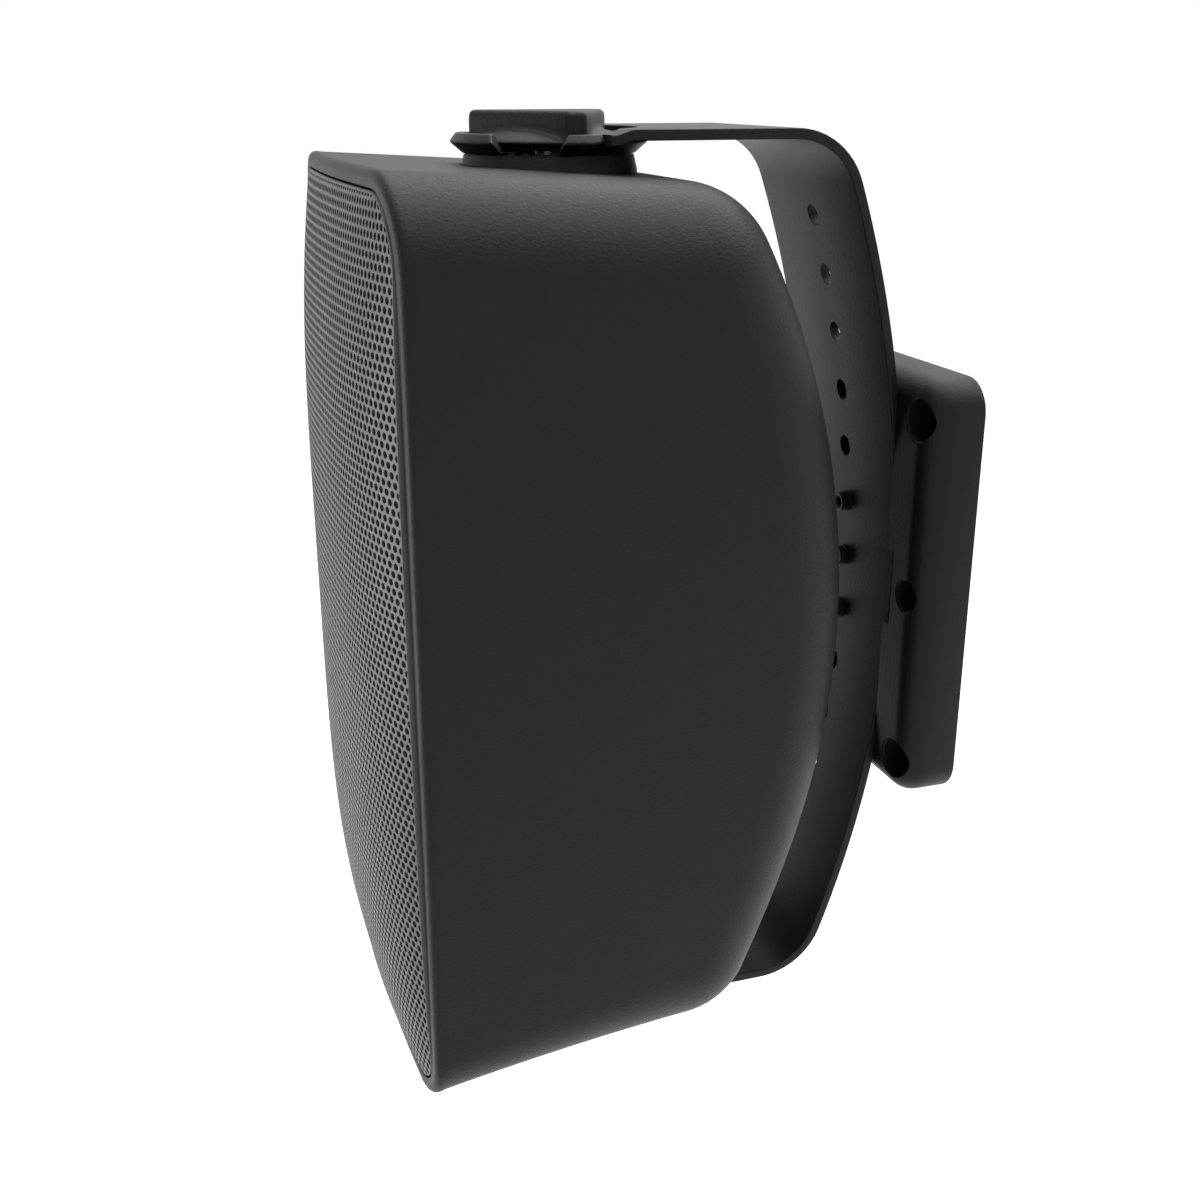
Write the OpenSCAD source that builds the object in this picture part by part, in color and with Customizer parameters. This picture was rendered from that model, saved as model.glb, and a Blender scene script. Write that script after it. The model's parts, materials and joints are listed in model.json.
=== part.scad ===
// Surface-mount two-way loudspeaker in a U-bracket with a wall plate.
// The wall is the plane Y = 0 and the speaker faces -Y. Z is up. Lengths are in millimetres.

/* [Enclosure] */
// half the width of the enclosure at its front rim
cab_half_w = 77.7; // [76.5:0.1:79]
// half the height of the enclosure at its front rim
cab_half_h = 130.2; // [129.8:0.1:130.6]
// distance of the front rim's side edges ahead of the swivel axis
cab_front = 59; // [58:0.5:60]
// radius of the front outline's corners
cab_corner = 18.5; // [17:0.5:20]
// distance of the rounded back behind the swivel axis
cab_back = 75; // [74:0.5:77]
// radius of the edges round the back
back_round = 28; // [26:0.5:29]
// wall thickness of the enclosure
wall = 3.3; // [2.8:0.1:3.6]
// how far the middle of the rim bows forward of its side edges
rim_bow = 3.7; // [3:0.1:4.5]

/* [Grille] */
// how far the grille's middle stands ahead of the rim's side edges
grille_rise = 11.1; // [10:0.1:12]
// thickness of the perforated steel sheet
grille_t = 1.2; // [0.8:0.1:1.6]
// gap between the grille and the rim
grille_gap = 0.8; // [0.5:0.1:1.2]

/* [Woofer] */
// height of the woofer's centre from the middle of the enclosure
woofer_z = -45; // [-47:0.5:-44]
// outer radius of the woofer's flange
woofer_r = 66.5; // [65:0.5:67]
// radius of the voice coil former
coil_r = 13; // [12.8:0.1:13.2]

/* [Tweeter] */
// height of the tweeter's centre from the middle of the enclosure
tweeter_z = 70; // [69:0.5:72]
// outer radius of the tweeter's faceplate
tweeter_r = 44; // [42:0.5:45]

/* [Bracket] */
// distance from the wall to the swivel axis
axis_y = 118; // [117.5:0.5:119]
// half the height over the bracket's arms
strap_half_h = 138; // [137.8:0.1:138.2]
// width of the bracket's steel strap
strap_w = 64.5; // [63:0.5:66]
// thickness of the bracket's steel strap
strap_t = 3; // [2.8:0.1:3.2]
// outer radius of the bracket's two bends
bend_r = 22.6; // [22:0.1:24]
// outer radius of the bracket's curved back
arc_r = 364; // [362:1:366]
// distance of the curved back's outermost point from the swivel axis
arc_back = 105.3; // [105:0.1:105.6]
// radius of the tilt holes
hole_r = 2.9; // [2.7:0.1:3.1]
// angle between two tilt holes
hole_step = 3; // [2.9:0.05:3]

/* [Clamp] */
// radius of the knob's round base
knob_r = 23; // [22.5:0.1:23]
// height of the knob's grip above its base
grip_h = 6.2; // [5:0.1:7]
// number of ratchet teeth in the full circle
teeth = 36; // [30:2:36]

/* [Wall plate] */
// width of the wall plate
plate_w = 105.6; // [104:0.2:108]
// height of the wall plate
plate_h = 130.4; // [129:0.2:132]
// depth of the wall plate
plate_d = 18.1; // [17.8:0.1:18.4]
// rounding of the wall plate's front edges
plate_round = 8; // [7:0.5:9]
// distance between the left and right wall screws
screw_dx = 88.8; // [88:0.2:89.4]
// distance between the top and bottom wall screws
screw_dz = 110.8; // [109:0.2:112]

/* [Hidden] */
$fn = 96;
e = 0.01;
big = 400;

// The enclosure's sides and its top and bottom close in towards the back.
side_slope = 0.075;
top_slope = 0.058;
function half_w(y) = cab_half_w - side_slope * (y + cab_front);
function half_h(y) = cab_half_h - top_slope * (y + cab_front);

// The back is an arc seen from the side. Its rounded edges follow an inner arc.
back_arc = 230;
core_arc = back_arc - back_round;
core_y = cab_back - back_arc;
core_end = 28.9;
core_steps = 8;

// The grille is a shallow pillow that follows the rim's bow.
grille_y = -cab_front - grille_rise;
grille_hw = cab_half_w - 4.6 - grille_gap;
grille_hh = cab_half_h - 4.6 - grille_gap;
grille_nx = 18;
grille_nz = 28;
function pillow_y(x, z) =
    -cab_front - rim_bow * (1 - pow(x / cab_half_w, 2))
    - (grille_rise - rim_bow) * (1 - pow(x / cab_half_w, 4)) * (1 - pow(z / cab_half_h, 4));
lip_w = 4.6;
rim_r = 817;

// Planes of the enclosure's inside, measured from the swivel axis.
baffle_y0 = -51;
baffle_y1 = -45;
port_x = 54;
port_z = 21;

// The bracket's side outline.
arc_y = arc_back - arc_r;
bend_z = strap_half_h - bend_r;
bend_y = arc_y + sqrt(pow(arc_r - bend_r, 2) - bend_z * bend_z);
bend_a = atan2(bend_z, bend_y - arc_y);

// Levels of the clamp, from the enclosure up to the knob.
boss_z = 130.6;
lip_z = 131;
web_z = 132;
web_t = 1.4;
seat_z = 133.7;
disc_z = 134.4;
disc_t = 2;
dome_h = 1.6;
ring_r = 28.3;
window_a = 31;
grip_w = 5.6;

// Helpers

// Moves a piece from the swivel axis's frame to the wall's frame.
module at_axis() {
    translate([0, -axis_y, 0]) children();
}

// Turns a piece made along Z so that it lies along Y, with its own +Z pointing to +Y.
module along_y() {
    rotate([-90, 0, 0]) children();
}

// Extrudes an outline drawn in Y and Z along X, centred on X = 0.
module side_extrude(w) {
    translate([-w / 2, 0, 0]) rotate([90, 0, 90]) linear_extrude(w) children();
}

// Rounded rectangle with its centre at the origin.
module rrect(hw, hh, r) {
    square([2 * (hw - r), 2 * hh], center = true);
    square([2 * hw, 2 * (hh - r)], center = true);
    for (i = [-1, 1]) {
        for (j = [-1, 1]) translate([i * (hw - r), j * (hh - r)]) circle(r);
    }
}

// Rounded rectangle of the front view, extruded from y0 to y1.
module front_slab(hw, hh, r, y0, y1) {
    translate([0, y1, 0]) rotate([90, 0, 0]) linear_extrude(y1 - y0) rrect(hw, hh, r);
}

// Wedge that keeps the part of a plane between two angles.
module wedge(a0, a1, r) {
    polygon([
        [0, 0],
        [r * cos(a0), r * sin(a0)],
        [r * cos((a0 + a1) / 2), r * sin((a0 + a1) / 2)],
        [r * cos(a1), r * sin(a1)]
    ]);
}

// Ring or tube along Y, from y0 to y1.
module ring_y(r_in, r_out, y0, y1) {
    translate([0, y0, 0]) along_y() difference() {
        cylinder(r = r_out, h = y1 - y0);
        translate([0, 0, -1]) cylinder(r = r_in, h = y1 - y0 + 2);
    }
}

// Round bar along Y, from y0 to y1.
module bar_y(r, y0, y1) {
    translate([0, y0, 0]) along_y() cylinder(r = r, h = y1 - y0);
}

// Round bar across the speaker that ends a piece along the back's arc.
module back_bound(r) {
    translate([-50, core_y, 0]) rotate([0, 90, 0]) cylinder(r = r, h = 100, $fn = 240);
}

// The enclosure and its grille

// Smooth closed form of the enclosure, drawn in by d.
module cabinet_form(d, front_d, y_front, n) {
    hull() {
        for (i = [-1, 1]) {
            for (j = [-1, 1]) {
                translate([i * (cab_half_w - cab_corner), y_front, j * (cab_half_h - cab_corner)])
                    along_y() cylinder(r = cab_corner - front_d, h = -cab_front + 1 - y_front, $fn = n);
            }
            for (k = [0 : core_steps]) {
                a = -core_end + 2 * core_end * k / core_steps;
                y = core_y + core_arc * cos(a);
                translate([i * (half_w(y) - back_round), y, core_arc * sin(a)])
                    sphere(r = back_round - d, $fn = n);
            }
        }
    }
}

module enclosure_shell() {
    color([0.12, 0.12, 0.12]) at_axis() difference() {
        cabinet_form(0, 0, -cab_front - rim_bow - 1, 28);
        cabinet_form(wall, lip_w, -cab_front - rim_bow - 3, 24);
        // bowed front face
        difference() {
            translate([-big / 2, -cab_front - 60, -big / 2]) cube([big, 61, big]);
            translate([0, -cab_front - rim_bow + rim_r, -big]) cylinder(r = rim_r, h = 2 * big, $fn = 200);
        }
        // holes for the two pivot bosses
        for (j = [-1, 1]) translate([0, 0, j * 125 - 12]) cylinder(r = 25.3, h = 24);
        // window for the terminals
        translate([-28, 30, -92]) cube([56, 50, 32]);
    }
}

module front_baffle() {
    color([0.16, 0.16, 0.17]) at_axis() difference() {
        front_slab(72, 124.8, 14.5, baffle_y0, baffle_y1);
        translate([0, 0, woofer_z]) bar_y(59.5, baffle_y0 - 1, baffle_y1 + 1);
        translate([0, 0, tweeter_z]) bar_y(31, baffle_y0 - 1, baffle_y1 + 1);
        for (i = [-1, 1]) translate([i * port_x, 0, port_z]) bar_y(11, baffle_y0 - 1, baffle_y1 + 1);
        for (k = [0 : 5]) {
            translate([0, 0, woofer_z]) rotate([0, 60 * k, 0]) translate([0, 0, 62.5])
                bar_y(1.5, baffle_y0 - 1, baffle_y1 + 1);
        }
        for (k = [0 : 3]) {
            translate([0, 0, tweeter_z]) rotate([0, 45 + 90 * k, 0]) translate([0, 0, 38.5])
                bar_y(1.5, baffle_y0 - 1, baffle_y1 + 1);
        }
    }
}

// Point of the pillow's front at column i and row j, set back by d.
function pillow_point(i, j, d) = let (
    x = (grille_hw + 2) * (2 * i / grille_nx - 1),
    z = (grille_hh + 2) * (2 * j / grille_nz - 1)
) [x, pillow_y(x, z) + d, z];

// Block bounded in front by the grille's pillow, set back by d, and flat behind.
module grille_form(d) {
    nx = grille_nx;
    nz = grille_nz;
    n = (nx + 1) * (nz + 1);
    points = concat(
        [for (j = [0 : nz]) for (i = [0 : nx]) pillow_point(i, j, d)],
        [for (j = [0 : nz]) for (i = [0 : nx]) let (p = pillow_point(i, j, d)) [p[0], baffle_y0 + 4, p[2]]]
    );
    front = [
        for (j = [0 : nz - 1]) for (i = [0 : nx - 1]) let (a = j * (nx + 1) + i)
        each [[a, a + nx + 1, a + nx + 2], [a, a + nx + 2, a + 1]]
    ];
    rear = [
        for (j = [0 : nz - 1]) for (i = [0 : nx - 1]) let (a = n + j * (nx + 1) + i)
        each [[a, a + nx + 2, a + nx + 1], [a, a + 1, a + nx + 2]]
    ];
    level = [
        for (i = [0 : nx - 1]) let (t = nz * (nx + 1))
        each [
            [i, i + 1, n + i + 1], [i, n + i + 1, n + i],
            [t + i, n + t + i + 1, t + i + 1], [t + i, n + t + i, n + t + i + 1]
        ]
    ];
    upright = [
        for (j = [0 : nz - 1]) let (a = j * (nx + 1), b = a + nx + 1, c = a + nx, g = b + nx)
        each [[a, n + a, n + b], [a, n + b, b], [c, n + g, n + c], [c, g, n + g]]
    ];
    polyhedron(points, concat(front, rear, level, upright));
}

module grille() {
    color([0.3, 0.3, 0.3]) at_axis() intersection() {
        difference() {
            grille_form(0);
            grille_form(grille_t);
        }
        front_slab(grille_hw, grille_hh, 13.4, grille_y - 5, -cab_front + 2);
    }
}

module grille_frame() {
    color([0.1, 0.1, 0.1]) at_axis() intersection() {
        difference() {
            front_slab(grille_hw - 0.2, grille_hh - 0.2, 13.2, -68, baffle_y0);
            front_slab(grille_hw - 4.2, grille_hh - 4.2, 10, -69, baffle_y0 + 1);
        }
        grille_form(grille_t + 0.02);
    }
}

// The woofer

module at_woofer() {
    at_axis() translate([0, 0, woofer_z]) children();
}

// Half section of the basket, drawn with the distance from the speaker's face upwards.
module basket_section() {
    polygon([
        [58.95, 0], [woofer_r, 0], [woofer_r, 3], [59.2, 3], [57, 5], [45, 26], [41, 28.5],
        [41, 30], [24, 30], [24, 27.5], [38.8, 27.5], [38.8, 25.5], [42.5, 25.5], [54.8, 3.5],
        [56.4, 2], [56.4, 0.75], [58.95, 0.75]
    ]);
}

module woofer_basket() {
    color([0.2, 0.2, 0.22]) at_woofer() difference() {
        translate([0, -54, 0]) along_y() rotate_extrude() basket_section();
        // windows between the basket's arms
        for (k = [0 : 5]) {
            rotate([0, 60 * k + 30, 0]) translate([-15, -47, 36]) cube([30, 18, 30]);
        }
        for (k = [0 : 5]) {
            rotate([0, 60 * k, 0]) translate([0, 0, 62.5]) bar_y(2.2, -56, -49);
        }
    }
}

module woofer_trim_ring() {
    color([0.08, 0.08, 0.08]) at_woofer() ring_y(57.6, 59.1, -55.6, -54);
}

// Half roll of rubber between the cone and the basket.
module woofer_surround() {
    color([0.05, 0.05, 0.05]) at_woofer() translate([0, -54, 0]) along_y() rotate_extrude() {
        difference() {
            translate([52.6, 0]) circle(r = 4.6);
            translate([52.6, 0]) circle(r = 3.9);
            translate([44, 0]) square([20, 10]);
        }
        translate([46, 0]) square([2.7, 0.7]);
        translate([56.5, 0]) square([2.4, 0.7]);
    }
}

module woofer_cone() {
    color([0.13, 0.13, 0.14]) at_woofer() translate([0, -54, 0]) along_y() rotate_extrude() polygon([
        [48.2, 0.75], [48.2, 1.6], [45.6, 1.6], [34, 10.6], [24, 16.6], [14.4, 21.2],
        [coil_r + 0.1, 21.2], [coil_r + 0.1, 20.4], [23.6, 15.8], [33.4, 9.8], [45.2, 0.75]
    ]);
}

module woofer_dust_cap() {
    color([0.1, 0.1, 0.1]) at_woofer() translate([0, -54, 0]) difference() {
        intersection() {
            translate([0, 38.3, 0]) sphere(r = 29);
            bar_y(22, 5, 17.3);
        }
        translate([0, 38.3, 0]) sphere(r = 28.3);
    }
}

// Corrugated centring disc.
module woofer_spider() {
    color([0.75, 0.6, 0.25]) at_woofer() translate([0, -28.9, 0]) along_y() rotate_extrude() {
        for (k = [0 : 4]) {
            difference() {
                translate([17.4 + 4.4 * k, 0]) circle(r = 1.4, $fn = 32);
                translate([17.4 + 4.4 * k, 0]) circle(r = 0.8, $fn = 32);
                translate([14 + 4.4 * k, k % 2 == 0 ? 0 : -3]) square([7, 3]);
            }
        }
        translate([coil_r + 0.1, -0.3]) square([17.4 - 1.1 - coil_r - 0.1, 0.6]);
        for (k = [0 : 3]) translate([18.5 + 4.4 * k, -0.3]) square([2.2, 0.6]);
        translate([36.1, -0.3]) square([5.3, 0.6]);
    }
}

module voice_coil_former() {
    color([0.75, 0.55, 0.3]) at_woofer() ring_y(coil_r - 0.2, coil_r + 0.1, -38, -10);
}

module voice_coil() {
    color([0.72, 0.36, 0.15]) at_woofer() ring_y(coil_r + 0.1, coil_r + 0.8, -26.5, -15.5);
}

module woofer_front_plate() {
    color([0.6, 0.6, 0.62]) at_woofer() ring_y(14.5, 37, -24, -18);
}

module woofer_magnet() {
    color([0.18, 0.18, 0.2]) at_woofer() ring_y(19, 41, -18, -3);
}

module woofer_pole_piece() {
    color([0.58, 0.58, 0.6]) at_woofer() difference() {
        union() {
            bar_y(37, -3, 3);
            bar_y(12.1, -24, -2);
        }
        bar_y(4, -30, 10);
    }
}

// Pan-head screw along Y. The head's front is at y0.
module pan_screw(y0, head_r, head_h, r, len) {
    difference() {
        union() {
            bar_y(head_r, y0, y0 + head_h);
            bar_y(r, y0 + head_h - e, y0 + head_h + len);
        }
        for (a = [0, 90]) rotate([0, a, 0]) translate([-head_r * 0.6, y0 - 1, -0.4])
            cube([head_r * 1.2, 1 + head_h * 0.6, 0.8]);
    }
}

module woofer_screws() {
    color([0.25, 0.25, 0.26]) at_woofer() for (k = [0 : 5]) {
        rotate([0, 60 * k, 0]) translate([0, 0, 62.5]) pan_screw(-56, 3.3, 2, 1.5, 10);
    }
}

// The tweeter

module at_tweeter() {
    at_axis() translate([0, 0, tweeter_z]) children();
}

module tweeter_faceplate() {
    color([0.14, 0.14, 0.15]) at_tweeter() difference() {
        translate([0, -54, 0]) along_y() rotate_extrude() polygon([
            [34, 0], [tweeter_r - 1, 0], [tweeter_r, 1], [tweeter_r, 3], [30, 3], [30, 12],
            [16.2, 12], [16.2, 9], [17.5, 6.4], [21, 3.6], [27, 1.4]
        ]);
        for (k = [0 : 3]) rotate([0, 45 + 90 * k, 0]) translate([0, 0, 38.5]) bar_y(2.1, -56, -49);
    }
}

// Silk dome with its half-roll edge.
module tweeter_dome() {
    color([0.2, 0.2, 0.21]) at_tweeter() translate([0, -43, 0]) {
        difference() {
            intersection() {
                translate([0, 9, 0]) sphere(r = 15.6);
                bar_y(12.7, -8, 0);
            }
            translate([0, 9, 0]) sphere(r = 15.2);
        }
        ring_y(12.3, 12.7, -e, 4);
    }
}

// Half roll that the dome hangs in.
module tweeter_surround() {
    color([0.1, 0.1, 0.1]) at_tweeter() translate([0, -43, 0]) along_y() rotate_extrude() {
        difference() {
            translate([14.4, 0]) circle(r = 1.6, $fn = 32);
            translate([14.4, 0]) circle(r = 1.2, $fn = 32);
            translate([12, 0]) square([6, 3]);
        }
    }
}

module tweeter_magnet() {
    color([0.55, 0.55, 0.57]) at_tweeter() difference() {
        bar_y(24, -42, -24);
        ring_y(11.4, 13.7, -43, -34);
        ring_y(13.6, 16.2, -43, -41);
    }
}

module tweeter_rear_cup() {
    color([0.1, 0.1, 0.1]) at_tweeter() difference() {
        bar_y(29.6, -41.9, -16);
        bar_y(24.05, -43, -24);
        bar_y(21, -25, -19);
    }
}

module tweeter_screws() {
    color([0.25, 0.25, 0.26]) at_tweeter() for (k = [0 : 3]) {
        rotate([0, 45 + 90 * k, 0]) translate([0, 0, 38.5]) pan_screw(-56, 3.1, 2, 1.5, 10);
    }
}

// The bass ports and the damping pad

// Flared bass port through the baffle.
module port_tube() {
    difference() {
        union() {
            bar_y(10.95, baffle_y0 - 1.8, -5);
            bar_y(13.4, baffle_y0 - 1.8, baffle_y0 - 0.05);
        }
        bar_y(9, baffle_y0 - 3, -4);
        translate([0, baffle_y0 - 1.9, 0]) along_y() cylinder(r1 = 12, r2 = 9, h = 4);
    }
}

module left_port_tube() {
    color([0.1, 0.1, 0.1]) at_axis() translate([-port_x, 0, port_z]) port_tube();
}

module right_port_tube() {
    color([0.1, 0.1, 0.1]) at_axis() translate([port_x, 0, port_z]) port_tube();
}

module damping_pad() {
    color([0.85, 0.85, 0.82]) at_axis() side_extrude(84) polygon([
        [30, 70], [48, 70], [48, 78], [30, 102], [-2, 108], [-2, 96], [22, 92]
    ]);
}

// The crossover

module crossover_board() {
    color([0.1, 0.35, 0.2]) at_axis() difference() {
        translate([-40, 44, -8]) cube([80, 1.6, 66]);
        for (i = [-1, 1]) {
            for (z = [-3, 53]) translate([i * 35, 0, z]) bar_y(1.7, 43, 47);
        }
    }
}

module board_standoffs() {
    color([0.1, 0.1, 0.1]) at_axis() intersection() {
        for (i = [-1, 1]) {
            for (z = [-3, 53]) translate([i * 35, 0, z]) {
                bar_y(3.5, 45.6, 74);
                bar_y(1.6, 43.5, 46);
            }
        }
        back_bound(back_arc - wall - 0.45);
    }
}

module air_core_inductor() {
    color([0.72, 0.36, 0.15]) at_axis() translate([-20, 0, 38]) ring_y(6, 15, 30, 44);
}

module drum_inductor() {
    color([0.2, 0.2, 0.22]) at_axis() translate([20, 0, 40]) {
        bar_y(12, 42, 44);
        bar_y(9.5, 30, 42);
        bar_y(12, 28, 30);
    }
}

module large_capacitor() {
    color([0.2, 0.25, 0.5]) at_axis() translate([-34, 35.5, 8]) rotate([0, 90, 0]) cylinder(r = 8.5, h = 34);
}

module small_capacitor() {
    color([0.75, 0.6, 0.15]) at_axis() translate([6, 38, 14]) rotate([0, 90, 0]) cylinder(r = 6, h = 26);
}

module cement_resistor() {
    color([0.85, 0.85, 0.82]) at_axis() translate([6, 35, -5]) cube([27, 9, 9]);
}

// The terminals

module terminal_cup() {
    color([0.08, 0.08, 0.08]) at_axis() difference() {
        intersection() {
            translate([-28, 38, -92]) cube([56, 34, 32]);
            back_bound(back_arc + 0.2);
        }
        translate([-25.5, 40.5, -89.5]) cube([51, 34, 27]);
    }
}

module terminal_block() {
    color([0.12, 0.12, 0.13]) at_axis() difference() {
        translate([-20, 40.5, -82]) cube([40, 11, 12]);
        for (k = [-1.5, -0.5, 0.5, 1.5]) {
            translate([k * 9.4, 47, -76]) bar_y(2.7, 0, 6);
            translate([k * 9.4 - 2.2, 43, -82.5]) cube([4.4, 4.4, 5]);
        }
    }
}

module terminal_screws() {
    color([0.7, 0.7, 0.72]) at_axis() for (k = [-1.5, -0.5, 0.5, 1.5]) {
        translate([k * 9.4, 0, -76]) difference() {
            bar_y(2.5, 47.05, 49.6);
            translate([-3, 48.8, -0.35]) cube([6, 2, 0.7]);
        }
    }
}

// The pivots on the enclosure

module pivot_boss() {
    difference() {
        union() {
            translate([0, 0, 113]) cylinder(r = 11, h = 8);
            translate([0, 0, 120]) cylinder(r = 25.3, h = 6.5);
            translate([0, 0, 126.5]) cylinder(r1 = 25.3, r2 = 24.34, h = boss_z - 126.5);
        }
        translate([0, 0, 112]) cylinder(r = 7, h = 20);
    }
}

module top_pivot_boss() {
    color([0.12, 0.12, 0.12]) at_axis() pivot_boss();
}

module bottom_pivot_boss() {
    color([0.12, 0.12, 0.12]) at_axis() mirror([0, 0, 1]) pivot_boss();
}

// Low radial teeth that the clamp ring locks on.
module ratchet_teeth() {
    difference() {
        union() {
            translate([0, 0, boss_z]) cylinder(r = 23.8, h = 0.4);
            for (k = [0 : teeth - 1]) {
                rotate([0, 0, 360 / teeth * k - 2]) translate([19.5, -0.8, boss_z + 0.3])
                    cube([4.2, 1.6, 0.8]);
            }
        }
        translate([0, 0, boss_z - 1]) cylinder(r = 19, h = 4);
    }
}

module top_ratchet_teeth() {
    color([0.14, 0.14, 0.14]) at_axis() ratchet_teeth();
}

module bottom_ratchet_teeth() {
    color([0.14, 0.14, 0.14]) at_axis() mirror([0, 0, 1]) ratchet_teeth();
}

// Brass bush for the knob's M8 stud, a smooth bore in place of the thread.
module threaded_insert() {
    translate([0, 0, 114]) difference() {
        cylinder(r = 7, h = 16);
        translate([0, 0, -1]) cylinder(r = 4.05, h = 18);
    }
}

module top_threaded_insert() {
    color([0.75, 0.6, 0.3]) at_axis() threaded_insert();
}

module bottom_threaded_insert() {
    color([0.75, 0.6, 0.3]) at_axis() mirror([0, 0, 1]) threaded_insert();
}

// The bracket and its clamps

// Upper half of the strap's side outline, in Y and Z.
module strap_outline() {
    translate([arc_y, 0]) intersection() {
        difference() {
            circle(arc_r, $fn = 400);
            circle(arc_r - strap_t, $fn = 400);
        }
        wedge(0, bend_a, 2 * arc_r);
    }
    translate([bend_y, bend_z]) intersection() {
        difference() {
            circle(bend_r);
            circle(bend_r - strap_t);
        }
        wedge(bend_a, 90, 4 * bend_r);
    }
    translate([14, strap_half_h - strap_t]) square([bend_y - 14, strap_t]);
    polygon([
        [14, strap_half_h], [14, strap_half_h - strap_t],
        [10, strap_half_h - strap_t - 1.4], [8, strap_half_h - strap_t - 1.4],
        [8, strap_half_h - 1.4], [10, strap_half_h - 1.4]
    ]);
}

module u_bracket() {
    color([0.15, 0.15, 0.15]) at_axis() difference() {
        union() {
            side_extrude(strap_w) strap_outline();
            mirror([0, 0, 1]) side_extrude(strap_w) strap_outline();
        }
        for (j = [-1, 1]) translate([0, 0, j * 135 - 8]) cylinder(r = ring_r, h = 16);
        for (k = [-6 : 6]) {
            translate([0, arc_y, 0]) rotate([k * hole_step, 0, 0]) bar_y(hole_r, arc_r - 8, arc_r + 5);
        }
    }
}

// Round eye with a V-shaped rim, a thin web and two windows over the teeth.
module clamp_ring() {
    difference() {
        rotate_extrude() polygon([
            [5, web_z], [24.1, web_z], [24.1, lip_z], [24.5, lip_z], [ring_r, 134.2],
            [26.4, 136.6], [knob_r + 0.4, 136.6], [knob_r + 0.4, web_z + web_t], [5, web_z + web_t]
        ]);
        for (s = [-1, 1]) {
            translate([0, 0, 125]) linear_extrude(20) intersection() {
                rotate(90 * s - 90) rotate(-s * window_a) wedge(-13.8, 13.8, 60);
                difference() {
                    circle(40);
                    circle(17.5);
                }
            }
        }
    }
}

module top_clamp_ring() {
    color([0.15, 0.15, 0.15]) at_axis() clamp_ring();
}

module bottom_clamp_ring() {
    color([0.15, 0.15, 0.15]) at_axis() mirror([0, 0, 1]) clamp_ring();
}

module clamp_washer() {
    translate([0, 0, seat_z]) difference() {
        cylinder(r = 14, h = 0.4);
        translate([0, 0, -1]) cylinder(r = 4.4, h = 3);
    }
}

module top_washer() {
    color([0.7, 0.7, 0.72]) at_axis() clamp_washer();
}

module bottom_washer() {
    color([0.7, 0.7, 0.72]) at_axis() mirror([0, 0, 1]) clamp_washer();
}

// Corner of the three-pointed grip on side s of point k.
function grip_corner(k, s) = let (a = 3.7 + 120 * k, r = knob_r - 0.3, w = s * grip_w / 2) [
    r * cos(a) - w * sin(a),
    r * sin(a) + w * cos(a)
];

module clamp_knob() {
    difference() {
        union() {
            intersection() {
                translate([0, 0, disc_z]) cylinder(r = knob_r, h = disc_t + dome_h + 1);
                translate([0, 0, disc_z + disc_t + dome_h - 166]) sphere(r = 166, $fn = 200);
            }
            intersection() {
                translate([0, 0, disc_z + 1]) linear_extrude(disc_t - 1 + grip_h) polygon([
                    for (k = [0 : 2]) for (s = [-1, 1]) grip_corner(k, s)
                ]);
                cylinder(r = knob_r, h = big);
            }
        }
        translate([0, 0, disc_z - 1]) cylinder(r = 4.2, h = 5);
    }
}

module top_knob() {
    color([0.13, 0.13, 0.13]) at_axis() clamp_knob();
}

module bottom_knob() {
    color([0.13, 0.13, 0.13]) at_axis() mirror([0, 0, 1]) clamp_knob();
}

module knob_stud() {
    translate([0, 0, 118]) cylinder(r = 4, h = disc_z - 118);
    translate([0, 0, disc_z - e]) cylinder(r = 4.2, h = 4);
}

module top_knob_stud() {
    color([0.7, 0.7, 0.72]) at_axis() knob_stud();
}

module bottom_knob_stud() {
    color([0.7, 0.7, 0.72]) at_axis() mirror([0, 0, 1]) knob_stud();
}

// The tilt pegs and the wall plate

// Places a piece on the bracket's arc at tilt hole k.
module at_hole(k) {
    at_axis() translate([0, arc_y, 0]) rotate([k * hole_step, 0, 0]) children();
}

module tilt_pegs() {
    color([0.2, 0.2, 0.2]) for (k = [-1 : 1]) {
        at_hole(k) difference() {
            bar_y(hole_r - 0.1, arc_r - strap_t - 4, arc_r + 7);
            bar_y(1.6, arc_r - strap_t - 5, arc_r - strap_t - 1.5);
        }
    }
}

module peg_inserts() {
    color([0.75, 0.6, 0.3]) for (k = [-1 : 1]) {
        at_hole(k) ring_y(hole_r - 0.1, 4.4, arc_r + 0.2, arc_r + 8);
    }
}

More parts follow.
